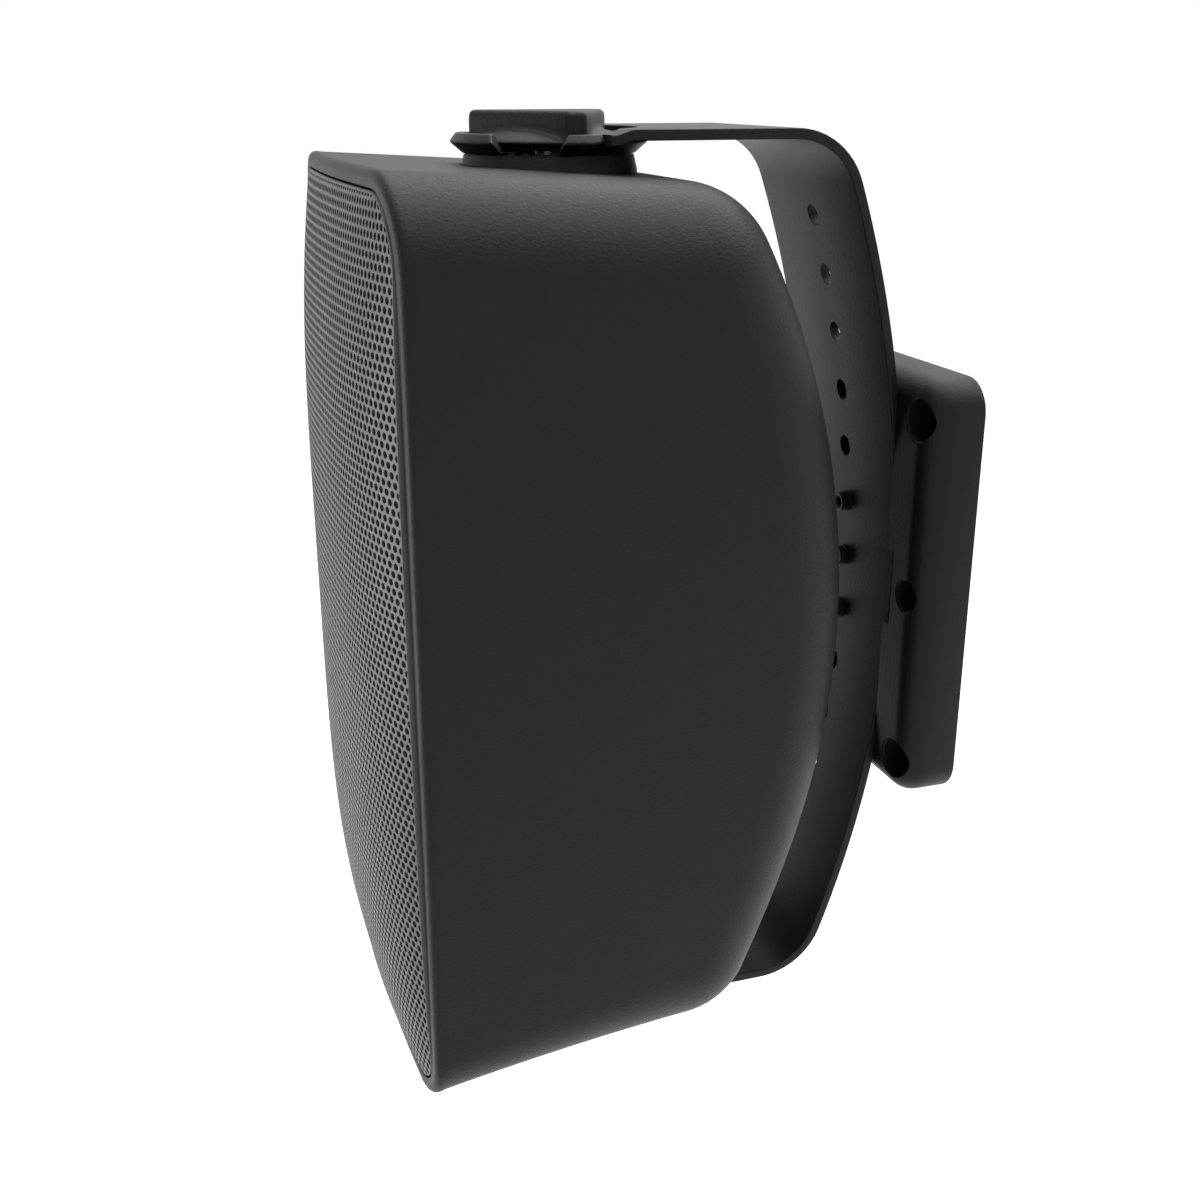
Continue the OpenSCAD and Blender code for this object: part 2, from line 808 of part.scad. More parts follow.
// Plate with rounded front edges, a channel for the strap and six screw holes.
module wall_plate() {
    hw = plate_w / 2;
    hh = plate_h / 2;
    color([0.13, 0.13, 0.13]) difference() {
        intersection() {
            front_slab(hw, hh, 10, -plate_d, 0);
            translate([0, 0, -100]) linear_extrude(200) {
                intersection() {
                    rrect(hw, plate_d, plate_round);
                    translate([-big / 2, -plate_d]) square([big, plate_d]);
                }
            }
            side_extrude(big) intersection() {
                rrect(plate_d, hh, plate_round);
                translate([-plate_d, -big / 2]) square([plate_d, big]);
            }
        }
        // channel that the strap lies in
        translate([-strap_w / 2 - 0.3, arc_y - axis_y, 0]) rotate([0, 90, 0])
            cylinder(r = arc_r + 0.1, h = strap_w + 0.6, $fn = 400);
        // finger reliefs beside the channel
        for (i = [-1, 1]) translate([i * (strap_w / 2 + 2) - 2.2, -plate_d - 1, -12]) cube([4.4, 6.5, 24]);
        // wall screw holes
        for (i = [-1, 1]) {
            for (j = [-1, 1]) translate([i * screw_dx / 2, 0, j * screw_dz / 2]) {
                bar_y(2.6, -plate_d - 1, 1);
                bar_y(6, -plate_d - 1, -6);
            }
            translate([i * screw_dx / 2, 0, 0]) {
                bar_y(2.2, -plate_d - 1, 1);
                bar_y(4.4, -plate_d - 1, -6);
            }
        }
        // seats of the threaded inserts
        for (k = [-1 : 1]) at_hole(k) bar_y(4.4, arc_r - 2, arc_r + 8.2);
    }
}

enclosure_shell();
front_baffle();
grille();
grille_frame();
woofer_basket();
woofer_trim_ring();
woofer_surround();
woofer_cone();
woofer_dust_cap();
woofer_spider();
voice_coil_former();
voice_coil();
woofer_front_plate();
woofer_magnet();
woofer_pole_piece();
woofer_screws();
tweeter_faceplate();
tweeter_dome();
tweeter_surround();
tweeter_magnet();
tweeter_rear_cup();
tweeter_screws();
left_port_tube();
right_port_tube();
damping_pad();
crossover_board();
board_standoffs();
air_core_inductor();
drum_inductor();
large_capacitor();
small_capacitor();
cement_resistor();
terminal_cup();
terminal_block();
terminal_screws();
top_pivot_boss();
bottom_pivot_boss();
top_ratchet_teeth();
bottom_ratchet_teeth();
top_threaded_insert();
bottom_threaded_insert();
u_bracket();
top_clamp_ring();
bottom_clamp_ring();
top_washer();
bottom_washer();
top_knob();
bottom_knob();
top_knob_stud();
bottom_knob_stud();
tilt_pegs();
peg_inserts();
wall_plate();
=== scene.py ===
# %% [markdown]
# # A wall loudspeaker in its U-bracket
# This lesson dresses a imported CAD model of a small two-way loudspeaker. It hangs between
# the arms of a steel bracket, two hand knobs clamp it there, and a plastic plate holds the
# bracket on the wall. The CAD gives every piece its place. Here the pieces that show get
# their rounded edges, their perforated steel and the finishes that a maker would give them.

# %% Load the frame
import json
import math
import bmesh
import bpy
import numpy as np
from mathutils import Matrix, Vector


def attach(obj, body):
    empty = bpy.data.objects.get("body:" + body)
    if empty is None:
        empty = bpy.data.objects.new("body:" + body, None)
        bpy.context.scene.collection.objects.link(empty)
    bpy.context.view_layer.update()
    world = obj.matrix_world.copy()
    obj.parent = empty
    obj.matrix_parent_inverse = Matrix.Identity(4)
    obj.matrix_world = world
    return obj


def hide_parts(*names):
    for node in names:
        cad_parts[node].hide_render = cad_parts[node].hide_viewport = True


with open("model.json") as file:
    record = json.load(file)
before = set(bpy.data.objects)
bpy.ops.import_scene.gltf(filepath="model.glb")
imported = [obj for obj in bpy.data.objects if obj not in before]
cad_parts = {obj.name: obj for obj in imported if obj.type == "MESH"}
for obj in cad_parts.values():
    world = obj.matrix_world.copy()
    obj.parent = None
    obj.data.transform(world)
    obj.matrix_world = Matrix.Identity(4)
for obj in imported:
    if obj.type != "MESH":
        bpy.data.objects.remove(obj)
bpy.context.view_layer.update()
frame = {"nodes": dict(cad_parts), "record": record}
cad_nodes = frame["nodes"]

# %% [markdown]
# ## Camera
# The photograph looks down on the speaker from its front left, with the side of the cabinet
# nearly square to the lens. The place and the lens below come from fitting the bracket's and
# the cabinet's edges, so that the render and the photograph can be laid over each other.

# %% Camera
LENS_MM, SENSOR_MM = 43.117, 36
CAMERA_PLACE = (0.41274, -0.23993, 0.14894)
CAMERA_TILT, CAMERA_HEADING = math.radians(70.318), math.radians(71.591)
camera_data = bpy.data.cameras.new("camera")
camera_data.lens, camera_data.sensor_width = LENS_MM, SENSOR_MM
camera = bpy.data.objects.new("camera", camera_data)
camera.location = CAMERA_PLACE
camera.rotation_euler = (CAMERA_TILT, 0, CAMERA_HEADING)
bpy.context.scene.collection.objects.link(camera)
bpy.context.scene.camera = camera
print("camera at", tuple(round(v, 3) for v in camera.location))

# %% [markdown]
# ## Helpers for nodes and colours
# Every finish and every Geometry Nodes tree is put together by one small function, which
# adds a node and fills its inputs with numbers or with links. A second one does the same for
# sums, and hands back the result's socket. A third turns a hex colour, as a painter would
# name it, into the linear numbers that a shader works with.

# %% Node and colour helpers
def add(tree, kind, into=None, **settings):
    node = tree.nodes.new(kind)
    for key, value in settings.items():
        setattr(node, key, value)
    for socket, value in (into or {}).items():
        if isinstance(value, bpy.types.NodeSocket):
            tree.links.new(value, node.inputs[socket])
        else:
            node.inputs[socket].default_value = value
    return node


def calc(tree, operation, *values):
    return add(tree, "ShaderNodeMath", dict(enumerate(values)), operation=operation).outputs[0]


def linear(code):
    parts = [int(code[i:i + 2], 16) / 255 for i in (1, 3, 5)]
    curve = [c / 12.92 if c <= 0.04045 else ((c + 0.055) / 1.055) ** 2.4 for c in parts]
    return (*curve, 1)


print("mid grey is", round(linear("#808080")[0], 3), "in linear light")

# %% [markdown]
# ## Starting a finish
# Most finishes here share the same bones: a base colour that drifts a little between two
# close tones, a fine relief, and a roughness that varies with the relief. The size of the
# relief is given in millimetres, as on the real surface, and becomes the scale of a noise.

# %% A finish with two tones and a relief
finishes = {}


def finish(name, slot, tone, other, rough, grain_mm, depth_mm, stretch=(1, 1, 1), **shader):
    material = bpy.data.materials.new(name)
    material.use_nodes = True
    tree = material.node_tree
    bsdf = tree.nodes["Principled BSDF"]
    for key, value in shader.items():
        bsdf.inputs[key.replace("_", " ")].default_value = value
    place = add(tree, "ShaderNodeTexCoord").outputs["Object"]
    laid = add(tree, "ShaderNodeMapping", {"Vector": place, "Scale": stretch}).outputs["Vector"]
    drift = add(tree, "ShaderNodeTexNoise", {"Vector": laid, "Scale": 60, "Detail": 3})
    mix = add(tree, "ShaderNodeMix", {6: linear(tone), 7: linear(other)}, data_type="RGBA")
    tree.links.new(drift.outputs["Fac"], mix.inputs[0])
    tree.links.new(mix.outputs[2], bsdf.inputs["Base Color"])
    grain = add(tree, "ShaderNodeTexNoise",
                {"Vector": laid, "Scale": 1000 / grain_mm, "Detail": 3, "Distortion": 0.5})
    level = add(tree, "ShaderNodeMapRange",
                {"Value": grain.outputs["Fac"], "To Min": rough - 0.05, "To Max": rough + 0.05})
    tree.links.new(level.outputs["Result"], bsdf.inputs["Roughness"])
    bump = add(tree, "ShaderNodeBump",
               {"Height": grain.outputs["Fac"], "Distance": depth_mm / 1000, "Strength": 0.8})
    tree.links.new(bump.outputs["Normal"], bsdf.inputs["Normal"])
    finishes[slot] = material


# %% [markdown]
# ## Moulded and painted finishes
# The cabinet, the knobs and the wall plate are moulded in black ABS, in a tool whose walls
# were etched with a fine leather grain. Its cells are about a millimetre across, and on the
# cabinet they lie flat-wise, so there the noise is squeezed along Z. To the eye the grain
# breaks up the shine into a soft sheen. The steel bracket and its clamp rings are powder
# coated, which gives a finer orange peel. The grille's paint is smooth and greyer, so that
# each edge of a hole can catch the light.

# %% Moulded ABS and powder coat
finish("black_abs_etched_leather_grain", "moulded_black", "#131314", "#171718", 0.5,
       1.0, 0.21, (1, 1, 1.5), Specular_IOR_Level=0.2)
finish("black_abs_knob_grain", "knob_plastic", "#0c0c0d", "#101011", 0.5, 0.9, 0.2,
       Specular_IOR_Level=0.2)
finish("black_abs_plate_grain", "plate_plastic", "#131314", "#171718", 0.5, 0.9, 0.12,
       Specular_IOR_Level=0.18)
finish("black_powder_coated_steel", "powder_coat", "#131314", "#171719", 0.46, 0.7, 0.12,
       Specular_IOR_Level=0.2)
finish("grey_black_painted_perforated_steel", "grille_steel", "#3e3e40", "#474749", 0.45, 0.5, 0.03,
       Specular_IOR_Level=0.4)
finish("black_moulded_polystyrene_baffle", "baffle_plastic", "#161617", "#1c1c1d", 0.6, 0.9, 0.08)
finish("black_moulded_abs_faceplate", "tweeter_plastic", "#1b1b1c", "#212122", 0.45, 0.8, 0.05)
finish("black_moulded_terminal_plastic", "terminal_plastic", "#19191a", "#202021", 0.45, 0.8, 0.06)
print(len(finishes), "moulded and painted finishes")

# %% [markdown]
# ## Finishes of the drivers and the crossover
# Behind the grille are paper, cloth, rubber, ferrite and bare metal. Metals take their colour
# from the base and mirror the room in it. The soft ones get a high roughness, which takes
# their shine away, and the scale of their fibres.

# %% Finishes of the inner pieces
finish("black_painted_pressed_steel", "basket_steel", "#242427", "#2c2c30", 0.4, 0.6, 0.04)
finish("butyl_rubber_roll", "rubber", "#131314", "#1a1a1b", 0.62, 0.4, 0.02)
finish("coated_paper_cone", "cone_paper", "#202022", "#2b2b2d", 0.75, 0.8, 0.12, (1, 3, 1))
finish("coated_paper_cap", "cap_paper", "#1b1b1d", "#232325", 0.6, 0.8, 0.06)
finish("resin_dipped_cotton_spider", "spider_cloth", "#b89140", "#caa555", 0.85, 0.5, 0.15)
finish("polyimide_film_former", "former_film", "#a5641f", "#b87328", 0.35, 0.6, 0.01)
finish("enamelled_copper_wire", "copper", "#b5602c", "#c9733a", 0.3, 0.35, 0.05, (1, 4, 1),
       Metallic=1.0)
finish("zinc_plated_steel", "plated_steel", "#9c9ea2", "#abadb0", 0.32, 0.4, 0.015, Metallic=1.0)
finish("sintered_ferrite", "ferrite", "#2a2a2d", "#343437", 0.55, 0.9, 0.06)
finish("black_oxide_screws", "black_screws", "#2b2b2d", "#353537", 0.38, 0.3, 0.01, Metallic=0.8)
finish("impregnated_silk", "silk", "#26262a", "#303034", 0.7, 0.25, 0.02)
finish("polyester_wadding_fibres", "polyester_wadding", "#d9d8d2", "#e6e5e0", 0.95, 1.6, 0.9)
finish("green_solder_mask_board", "circuit_board", "#14482a", "#1b5633", 0.35, 2.5, 0.03)
finish("blue_film_wrap", "blue_film", "#27417a", "#304c89", 0.3, 3, 0.02)
finish("yellow_film_wrap", "yellow_film", "#bd9a23", "#caa72f", 0.3, 3, 0.02)
finish("cast_cement_body", "cement", "#d6d4cb", "#e2e0d8", 0.85, 0.5, 0.08)
finish("zinc_plated_washer_steel", "zinc_steel", "#a3a4a6", "#b1b2b4", 0.34, 0.4, 0.015,
       Metallic=1.0)
finish("turned_brass", "brass", "#b08d4a", "#bf9c58", 0.3, 0.3, 0.01, Metallic=1.0)
finish("matt_black_painted_peg_steel", "peg_steel", "#101011", "#151516", 0.55, 0.4, 0.02,
       Specular_IOR_Level=0.3)
print(len(finishes), "finishes in all")

# %% [markdown]
# ## Finishes on the CAD pieces
# A CAD piece whose shape is right stays as it is, and only its finish changes. The record
# says which of its material slots each piece uses, so one loop dresses them all.

# %% Dress the CAD pieces
slot_of = {part["node"]: part["material_slot"] for part in frame["record"]["subparts"]}
for name, piece in cad_nodes.items():
    for index in range(len(piece.data.materials)):
        piece.data.materials[index] = finishes[slot_of[name]]
print(len(slot_of), "CAD pieces dressed")

# %% [markdown]
# ## Making meshes from rings
# The cabinet, the knobs, the wall plate and the steel strap are all skins through a row of
# closed rings. Modelling them this way, rather than by rounding a block afterwards, puts the
# edge loops where the real edges turn, so that the light runs cleanly over the fillets.

# %% Ring and finishing helpers
MM = 0.001
AXIS_MM = -118
AXIS_Y = AXIS_MM * MM


def make_piece(name, points, faces, slot, body, replaced=(), angle=35):
    mesh = bpy.data.meshes.new(name)
    mesh.from_pydata([tuple(p) for p in points], [], faces)
    work = bmesh.new()
    work.from_mesh(mesh)
    bmesh.ops.remove_doubles(work, verts=work.verts, dist=1e-6)
    bmesh.ops.delete(work, geom=[v for v in work.verts if not v.link_faces], context="VERTS")
    bmesh.ops.recalc_face_normals(work, faces=work.faces)
    work.to_mesh(mesh)
    work.free()
    piece = bpy.data.objects.new(name, mesh)
    bpy.context.scene.collection.objects.link(piece)
    return settle(piece, slot, body, replaced, angle)


def settle(piece, slot, body, replaced=(), angle=35):
    piece.data.shade_smooth()
    if angle:
        piece.data.set_sharp_from_angle(angle=math.radians(angle))
    piece.data.materials.clear()
    piece.data.materials.append(finishes[slot])
    if body:
        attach(piece, body)
    if replaced:
        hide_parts(*replaced)
    count = sum(len(p.vertices) - 2 for p in piece.data.polygons)
    print(piece.name, "has", count, "triangles")
    return piece


def ring_faces(rings, around, closed=False):
    faces = []
    for j in range(rings if closed else rings - 1):
        for i in range(around):
            a, b = j * around, (j + 1) % rings * around
            faces.append((a + i, a + (i + 1) % around, b + (i + 1) % around, b + i))
    return faces


def rounded_outline(hw, hh, r, arc=10, side=14, low_r=None):
    low = low_r or r
    ends = {0: (-(hw - r), hh), 90: (-hw, -(hh - low)), 180: (hw - low, -hh), 270: (hw, hh - r)}
    points = []
    for cx, cz, start, q in ((1, 1, 0, r), (-1, 1, 90, r), (-1, -1, 180, low), (1, -1, 270, low)):
        for k in range(arc + 1):
            a = math.radians(start + 90 * k / arc)
            points.append(((hw - q) * cx + q * math.cos(a), (hh - q) * cz + q * math.sin(a),
                           math.cos(a), math.sin(a)))
        ax, az, nx, nz = points[-1]
        bx, bz = ends[start]
        for k in range(1, side):
            points.append((ax + (bx - ax) * k / side, az + (bz - az) * k / side, nx, nz))
    return points


def lathe(profile, around=96, flip=1):
    points = []
    for r, z in profile:
        for k in range(around):
            a = 2 * math.pi * k / around
            points.append((r * MM * math.cos(a), AXIS_Y + r * MM * math.sin(a), flip * z * MM))
    return points, ring_faces(len(profile), around)


print("a test outline has", len(rounded_outline(10, 20, 3)), "points")

# %% [markdown]
# ## The cabinet
# The real cabinet is one moulding: a tapered tub whose back is curved from top to bottom,
# with every edge rolled over, and a front rim that bows forward a little. A hull of balls
# gives that form in CAD. Here the same form is written as a cube that is blown up over a
# core: each vertex knows a point of the core and a direction, and sits one radius away. The
# wall, the rim with its small fillet, the step that the grille drops into and the inside
# are further rings of the same skin. The corners are rounder at the top than at the bottom.

# %% Sizes of the cabinet
HALF_W, HALF_H, FRONT, CORNER, LOW_CORNER = 77.7, 130.2, -59.0, 24.5, 18.0
SIDE_SLOPE, TOP_SLOPE, BOW = 0.075, 0.058, 3.7
CORE_Y, CORE_ARC, CORE_END, BACK_ROUND = -155.0, 202.0, 28.9, 28.0
FAN = 9
RIM_ROLL = 2.3
LOW_BACK = 4.0
WINDOW_HALF, WINDOW_SHARE = 28, 0.6
WALL = 3.3


def bow(x):
    return FRONT - BOW * (1 - (x / HALF_W) ** 2)


def cabinet_point(px, ex, pz, ez, ey, t, inset=0.0, dy=0.0):
    a = math.radians(CORE_END * pz)
    back_y, back_z = CORE_Y + CORE_ARC * math.cos(a), CORE_ARC * math.sin(a)
    corner = CORNER if pz > 0 else LOW_CORNER
    r = corner + (BACK_ROUND - corner) * t
    slope = SIDE_SLOPE * abs(ex) + TOP_SLOPE * abs(ez)
    nx, ny, nz = ex, ey * math.cos(a) + t * slope, ez + ey * math.sin(a)
    size = math.sqrt(nx * nx + ny * ny + nz * nz)
    nx, ny, nz = nx / size, ny / size, nz / size
    spread = HALF_W - corner
    x_front = math.copysign(min(1, abs(px)), px) * spread + (corner - inset) * nx
    y = bow(x_front) + dy
    y = y + (back_y - y) * t
    cx = HALF_W - SIDE_SLOPE * (y - FRONT) - r
    if abs(px) <= WINDOW_SHARE:
        x = px / WINDOW_SHARE * WINDOW_HALF
    else:
        past = (abs(px) - WINDOW_SHARE) / (1 - WINDOW_SHARE)
        x = math.copysign(WINDOW_HALF + past * (cx - WINDOW_HALF), px)
    low_edge = LOW_BACK * t * t * max(0, -pz) ** 6
    z = pz * (HALF_H - corner) * (1 - t) + back_z * t - low_edge
    reach = r - inset
    return ((x + reach * nx) * MM, AXIS_Y + (y + reach * ny) * MM, (z + reach * nz) * MM)


print("bow of the rim at its middle", bow(0), "mm")

# %% Lines of the blown-up cube
def fan_and_flat(flat):
    fan = [math.tan(math.radians(45 * (1 - k / FAN))) for k in range(FAN)]
    return [(-1.0, -e) for e in fan] + [(p, 0.0) for p in flat] + [(1.0, e) for e in reversed(fan)]


flat_x = [-1 + 0.1 * k for k in range(21)]
WINDOW_LOW, WINDOW_TOP = -0.8159, -0.5232
flat_z = [*np.linspace(-1, WINDOW_LOW, 5), *np.linspace(WINDOW_LOW, WINDOW_TOP, 8)[1:],
          *np.linspace(WINDOW_TOP, 1, 38)[1:]]
cols, rows = fan_and_flat(flat_x), fan_and_flat(flat_z)
nc, nr = len(cols), len(rows)
border = [(i, 0) for i in range(nc)] + [(nc - 1, k) for k in range(1, nr)]
border += [(i, nr - 1) for i in range(nc - 2, -1, -1)] + [(0, k) for k in range(nr - 2, 0, -1)]
levels = [(0, math.tan(math.radians(45 * (1 - k / FAN))), 1.0, 0.0) for k in range(1, FAN + 1)]
levels += [(0, 0.0, t, 0.0) for t in np.linspace(1, 0.05, 26)[1:]]
levels += [(RIM_ROLL * (1 - math.cos(a)), 0, 0, RIM_ROLL * (1 - math.sin(a)))
           for a in np.linspace(0, math.pi / 2, 7)]
levels += [(4.2, 0, 0, 0), (4.5, 0, 0, 0.15), (4.6, 0, 0, 0.5), (4.6, 0, 0, 14)]
levels += [(WALL, 0.0, t, 0.0) for t in np.linspace(0.19, 1, 12)]
levels += [(WALL, math.tan(math.radians(45 * k / FAN)), 1.0, 0.0) for k in range(1, FAN)]
print(nc, "by", nr, "lines and", len(levels), "rings")

# %% Skin of the cabinet
HAIR = 0.0001
window_cols = [i for i, (p, e) in enumerate(cols)
               if e == 0 and -WINDOW_SHARE - HAIR < p < WINDOW_SHARE - HAIR]
window_rows = [k for k, (p, e) in enumerate(rows)
               if e == 0 and WINDOW_LOW - HAIR < p < WINDOW_TOP - HAIR]
points, faces, where = [], [], {}
for side, inset in (("out", 0), ("in", WALL)):
    for i, (px, ex) in enumerate(cols):
        for k, (pz, ez) in enumerate(rows):
            where[side, i, k] = len(points)
            points.append(cabinet_point(px, ex, pz, ez, 1.0, 1.0, inset))
    for i in range(nc - 1):
        for k in range(nr - 1):
            if i in window_cols and k in window_rows:
                continue
            corners = [(i, k), (i + 1, k), (i + 1, k + 1), (i, k + 1)]
            faces.append(tuple(where[side, a, b] for a, b in corners))
rings = [[where["out", i, k] for i, k in border]]
for inset, ey, t, dy in levels:
    rings.append(list(range(len(points), len(points) + len(border))))
    points += [cabinet_point(*cols[i], *rows[k], ey, t, inset, dy) for i, k in border]
rings.append([where["in", i, k] for i, k in border])
for one, two in zip(rings, rings[1:]):
    for m in range(len(border)):
        n = (m + 1) % len(border)
        faces.append((one[m], one[n], two[n], two[m]))
c0, c1 = window_cols[0], window_cols[-1] + 1
r0, r1 = window_rows[0], window_rows[-1] + 1
frame_line = [(i, r0) for i in range(c0, c1)] + [(c1, k) for k in range(r0, r1)]
frame_line += [(i, r1) for i in range(c1, c0, -1)] + [(c0, k) for k in range(r1, r0, -1)]
for m in range(len(frame_line)):
    a, b = frame_line[m], frame_line[(m + 1) % len(frame_line)]
    faces.append((where["out", a[0], a[1]], where["out", b[0], b[1]],
                  where["in", b[0], b[1]], where["in", a[0], a[1]]))
make_piece("cabinet_moulding", points, faces, "moulded_black", "enclosure",
           ["enclosure_shell"], angle=50)

# %% [markdown]
# ## The perforated grille
# The grille is a sheet of 1.2 mm steel with staggered round holes, pressed into a shallow
# pillow. Geometry Nodes suit it, because a rule places every hole. Cutting thousands of
# holes out of a plate is slow, so the metal between them is laid instead: one hole owns
# two seven-cornered scraps of sheet, which fit together with their neighbours' round holes.
# The tree repeats the scraps, drops those past the outline, shears the last ones off along
# it, as a press does, gives the sheet its thickness and bends it. It works in millimetres,
# and its rows stand one triangle's height apart, so that all neighbours are equally near.

# %% Sizes of the grille and the rule of its pillow
GRILLE_HW, GRILLE_HH, GRILLE_R, GRILLE_LOW_R, GRILLE_T = 72.6, 125.1, 19.4, 12.9, 1.2
PILLOW, RECESS, PITCH, HOLE_R = 8.2, 0.8, 2.74, 1.01
ROW_SHARE = 0.8660254
SCRAP_GAP, SKIN_GAP = 0.02, 0.001


def pillow(x, z):
    u, w = (x / HALF_W) ** 2, (z / HALF_H) ** 2
    return FRONT + RECESS - BOW * (1 - u) - PILLOW * (1 - u * u) * (1 - w * w)


print("the grille's middle stands at", round(pillow(0, 0), 2), "mm from the axis")

# %% The two scraps of metal that one hole owns
def hole_corner(column, up_rows, degrees):
    a = math.radians(degrees)
    return (column * PITCH / 2 + HOLE_R * math.cos(a),
            up_rows * PITCH * ROW_SHARE + HOLE_R * math.sin(a), 0)


scraps = bpy.data.meshes.new("scraps")
upward = [(0, 0, 0), (2, 0, 180), (2, 0, 135), (1, 1, 315), (1, 1, 270), (1, 1, 225), (0, 0, 45)]
downward = [(0, 0, 45), (1, 1, 225), (1, 1, 180), (-1, 1, 0), (-1, 1, 315), (0, 0, 135), (0, 0, 90)]
scraps.from_pydata([hole_corner(*c) for c in upward + downward], [],
                   [tuple(range(7)), tuple(range(7, 14))])
print("a hole's rim has 8 sides, and its scraps", len(scraps.vertices), "corners")

# %% Tree of the perforated sheet: field of holes
sheet = bpy.data.node_groups.new("perforated_sheet", "GeometryNodeTree")
sheet.interface.new_socket(name="Geometry", in_out="OUTPUT", socket_type="NodeSocketGeometry")
sheet.interface.new_socket(name="Geometry", in_out="INPUT", socket_type="NodeSocketGeometry")
sheet_sizes = {"Pitch": PITCH, "Half width": GRILLE_HW, "Half height": GRILLE_HH,
               "Corner": GRILLE_R, "Low corner": GRILLE_LOW_R, "Margin": 0.3,
               "Thickness": GRILLE_T, "Rise": PILLOW, "Bow": BOW}
for size in sheet_sizes:
    sheet.interface.new_socket(name=size, in_out="INPUT", socket_type="NodeSocketFloat")
given = add(sheet, "NodeGroupInput").outputs
wide = calc(sheet, "MULTIPLY", given["Half width"], 2.0)
tall = calc(sheet, "MULTIPLY", given["Half height"], 2.0)
row_step = calc(sheet, "MULTIPLY", given["Pitch"], ROW_SHARE)
across = calc(sheet, "DIVIDE", wide, given["Pitch"])
rows_up = calc(sheet, "DIVIDE", tall, row_step)
whole_x = calc(sheet, "FLOOR", across)
whole_z = calc(sheet, "FLOOR", rows_up)
span_x = calc(sheet, "MULTIPLY", whole_x, given["Pitch"])
span_z = calc(sheet, "MULTIPLY", whole_z, row_step)
count_x = calc(sheet, "ADD", whole_x, 1.0)
count_z = calc(sheet, "ADD", whole_z, 1.0)
field = add(sheet, "GeometryNodeMeshGrid", {"Size X": span_x, "Size Y": span_z,
                                            "Vertices X": count_x, "Vertices Y": count_z})
spot = add(sheet, "ShaderNodeSeparateXYZ", {0: add(sheet, "GeometryNodeInputPosition").outputs[0]})
half_z = calc(sheet, "MULTIPLY", span_z, 0.5)
lifted = calc(sheet, "ADD", spot.outputs["Y"], half_z)
row = calc(sheet, "DIVIDE", lifted, row_step)
whole = calc(sheet, "ROUND", row)
odd = calc(sheet, "FLOORED_MODULO", whole, 2.0)
lean = calc(sheet, "SUBTRACT", odd, 0.5)
half_pitch = calc(sheet, "MULTIPLY", given["Pitch"], 0.5)
shift = calc(sheet, "MULTIPLY", lean, half_pitch)
staggered = add(sheet, "GeometryNodeSetPosition", {
    "Geometry": field.outputs["Mesh"],
    "Offset": add(sheet, "ShaderNodeCombineXYZ", {"X": shift}).outputs[0]})

# %% Tree of the perforated sheet: drop what is past the edge, shear the last scraps
laid = add(sheet, "GeometryNodeInstanceOnPoints", {"Points": staggered.outputs[0],
                                                   "Instance": given["Geometry"]})
loose = add(sheet, "GeometryNodeRealizeInstances", {0: laid.outputs[0]})
upper_half = calc(sheet, "GREATER_THAN", spot.outputs["Y"], 0.0)
rounder = calc(sheet, "SUBTRACT", given["Corner"], given["Low corner"])
corner = calc(sheet, "MULTIPLY_ADD", upper_half, rounder, given["Low corner"])
inner_w = calc(sheet, "SUBTRACT", given["Half width"], corner)
inner_h = calc(sheet, "SUBTRACT", given["Half height"], corner)
size_x = calc(sheet, "ABSOLUTE", spot.outputs["X"])
size_y = calc(sheet, "ABSOLUTE", spot.outputs["Y"])
over_x = calc(sheet, "SUBTRACT", size_x, inner_w)
over_y = calc(sheet, "SUBTRACT", size_y, inner_h)
only_x = calc(sheet, "MAXIMUM", over_x, 0.0)
only_y = calc(sheet, "MAXIMUM", over_y, 0.0)
corner_vector = add(sheet, "ShaderNodeCombineXYZ", {"X": only_x, "Y": only_y}).outputs[0]
round_part = add(sheet, "ShaderNodeVectorMath", {0: corner_vector},
                 operation="LENGTH").outputs["Value"]
larger = calc(sheet, "MAXIMUM", over_x, over_y)
flat_part = calc(sheet, "MINIMUM", larger, 0.0)
both = calc(sheet, "ADD", round_part, flat_part)
outside = calc(sheet, "SUBTRACT", both, corner)
past = calc(sheet, "ADD", outside, given["Margin"])
beyond = add(sheet, "FunctionNodeCompare", {0: past, 1: 0.0}, operation="GREATER_THAN").outputs[0]
inside = add(sheet, "GeometryNodeDeleteGeometry",
             {"Geometry": loose.outputs[0], "Selection": beyond}, domain="FACE")
heading = add(sheet, "ShaderNodeVectorMath", {0: corner_vector},
              operation="NORMALIZE").outputs["Vector"]
sign_x = calc(sheet, "SIGN", spot.outputs["X"])
sign_y = calc(sheet, "SIGN", spot.outputs["Y"])
signs = add(sheet, "ShaderNodeCombineXYZ", {"X": sign_x, "Y": sign_y}).outputs[0]
outward = add(sheet, "ShaderNodeVectorMath", {0: heading, 1: signs},
              operation="MULTIPLY").outputs["Vector"]
excess = calc(sheet, "MAXIMUM", past, 0.0)
inward = calc(sheet, "MULTIPLY", excess, -1.0)
pull = add(sheet, "ShaderNodeVectorMath", {0: outward, "Scale": inward},
           operation="SCALE").outputs["Vector"]
sheared = add(sheet, "GeometryNodeSetPosition", {"Geometry": inside.outputs[0], "Offset": pull})
flat = add(sheet, "GeometryNodeMergeByDistance",
           {"Geometry": sheared.outputs[0], "Distance": SCRAP_GAP})

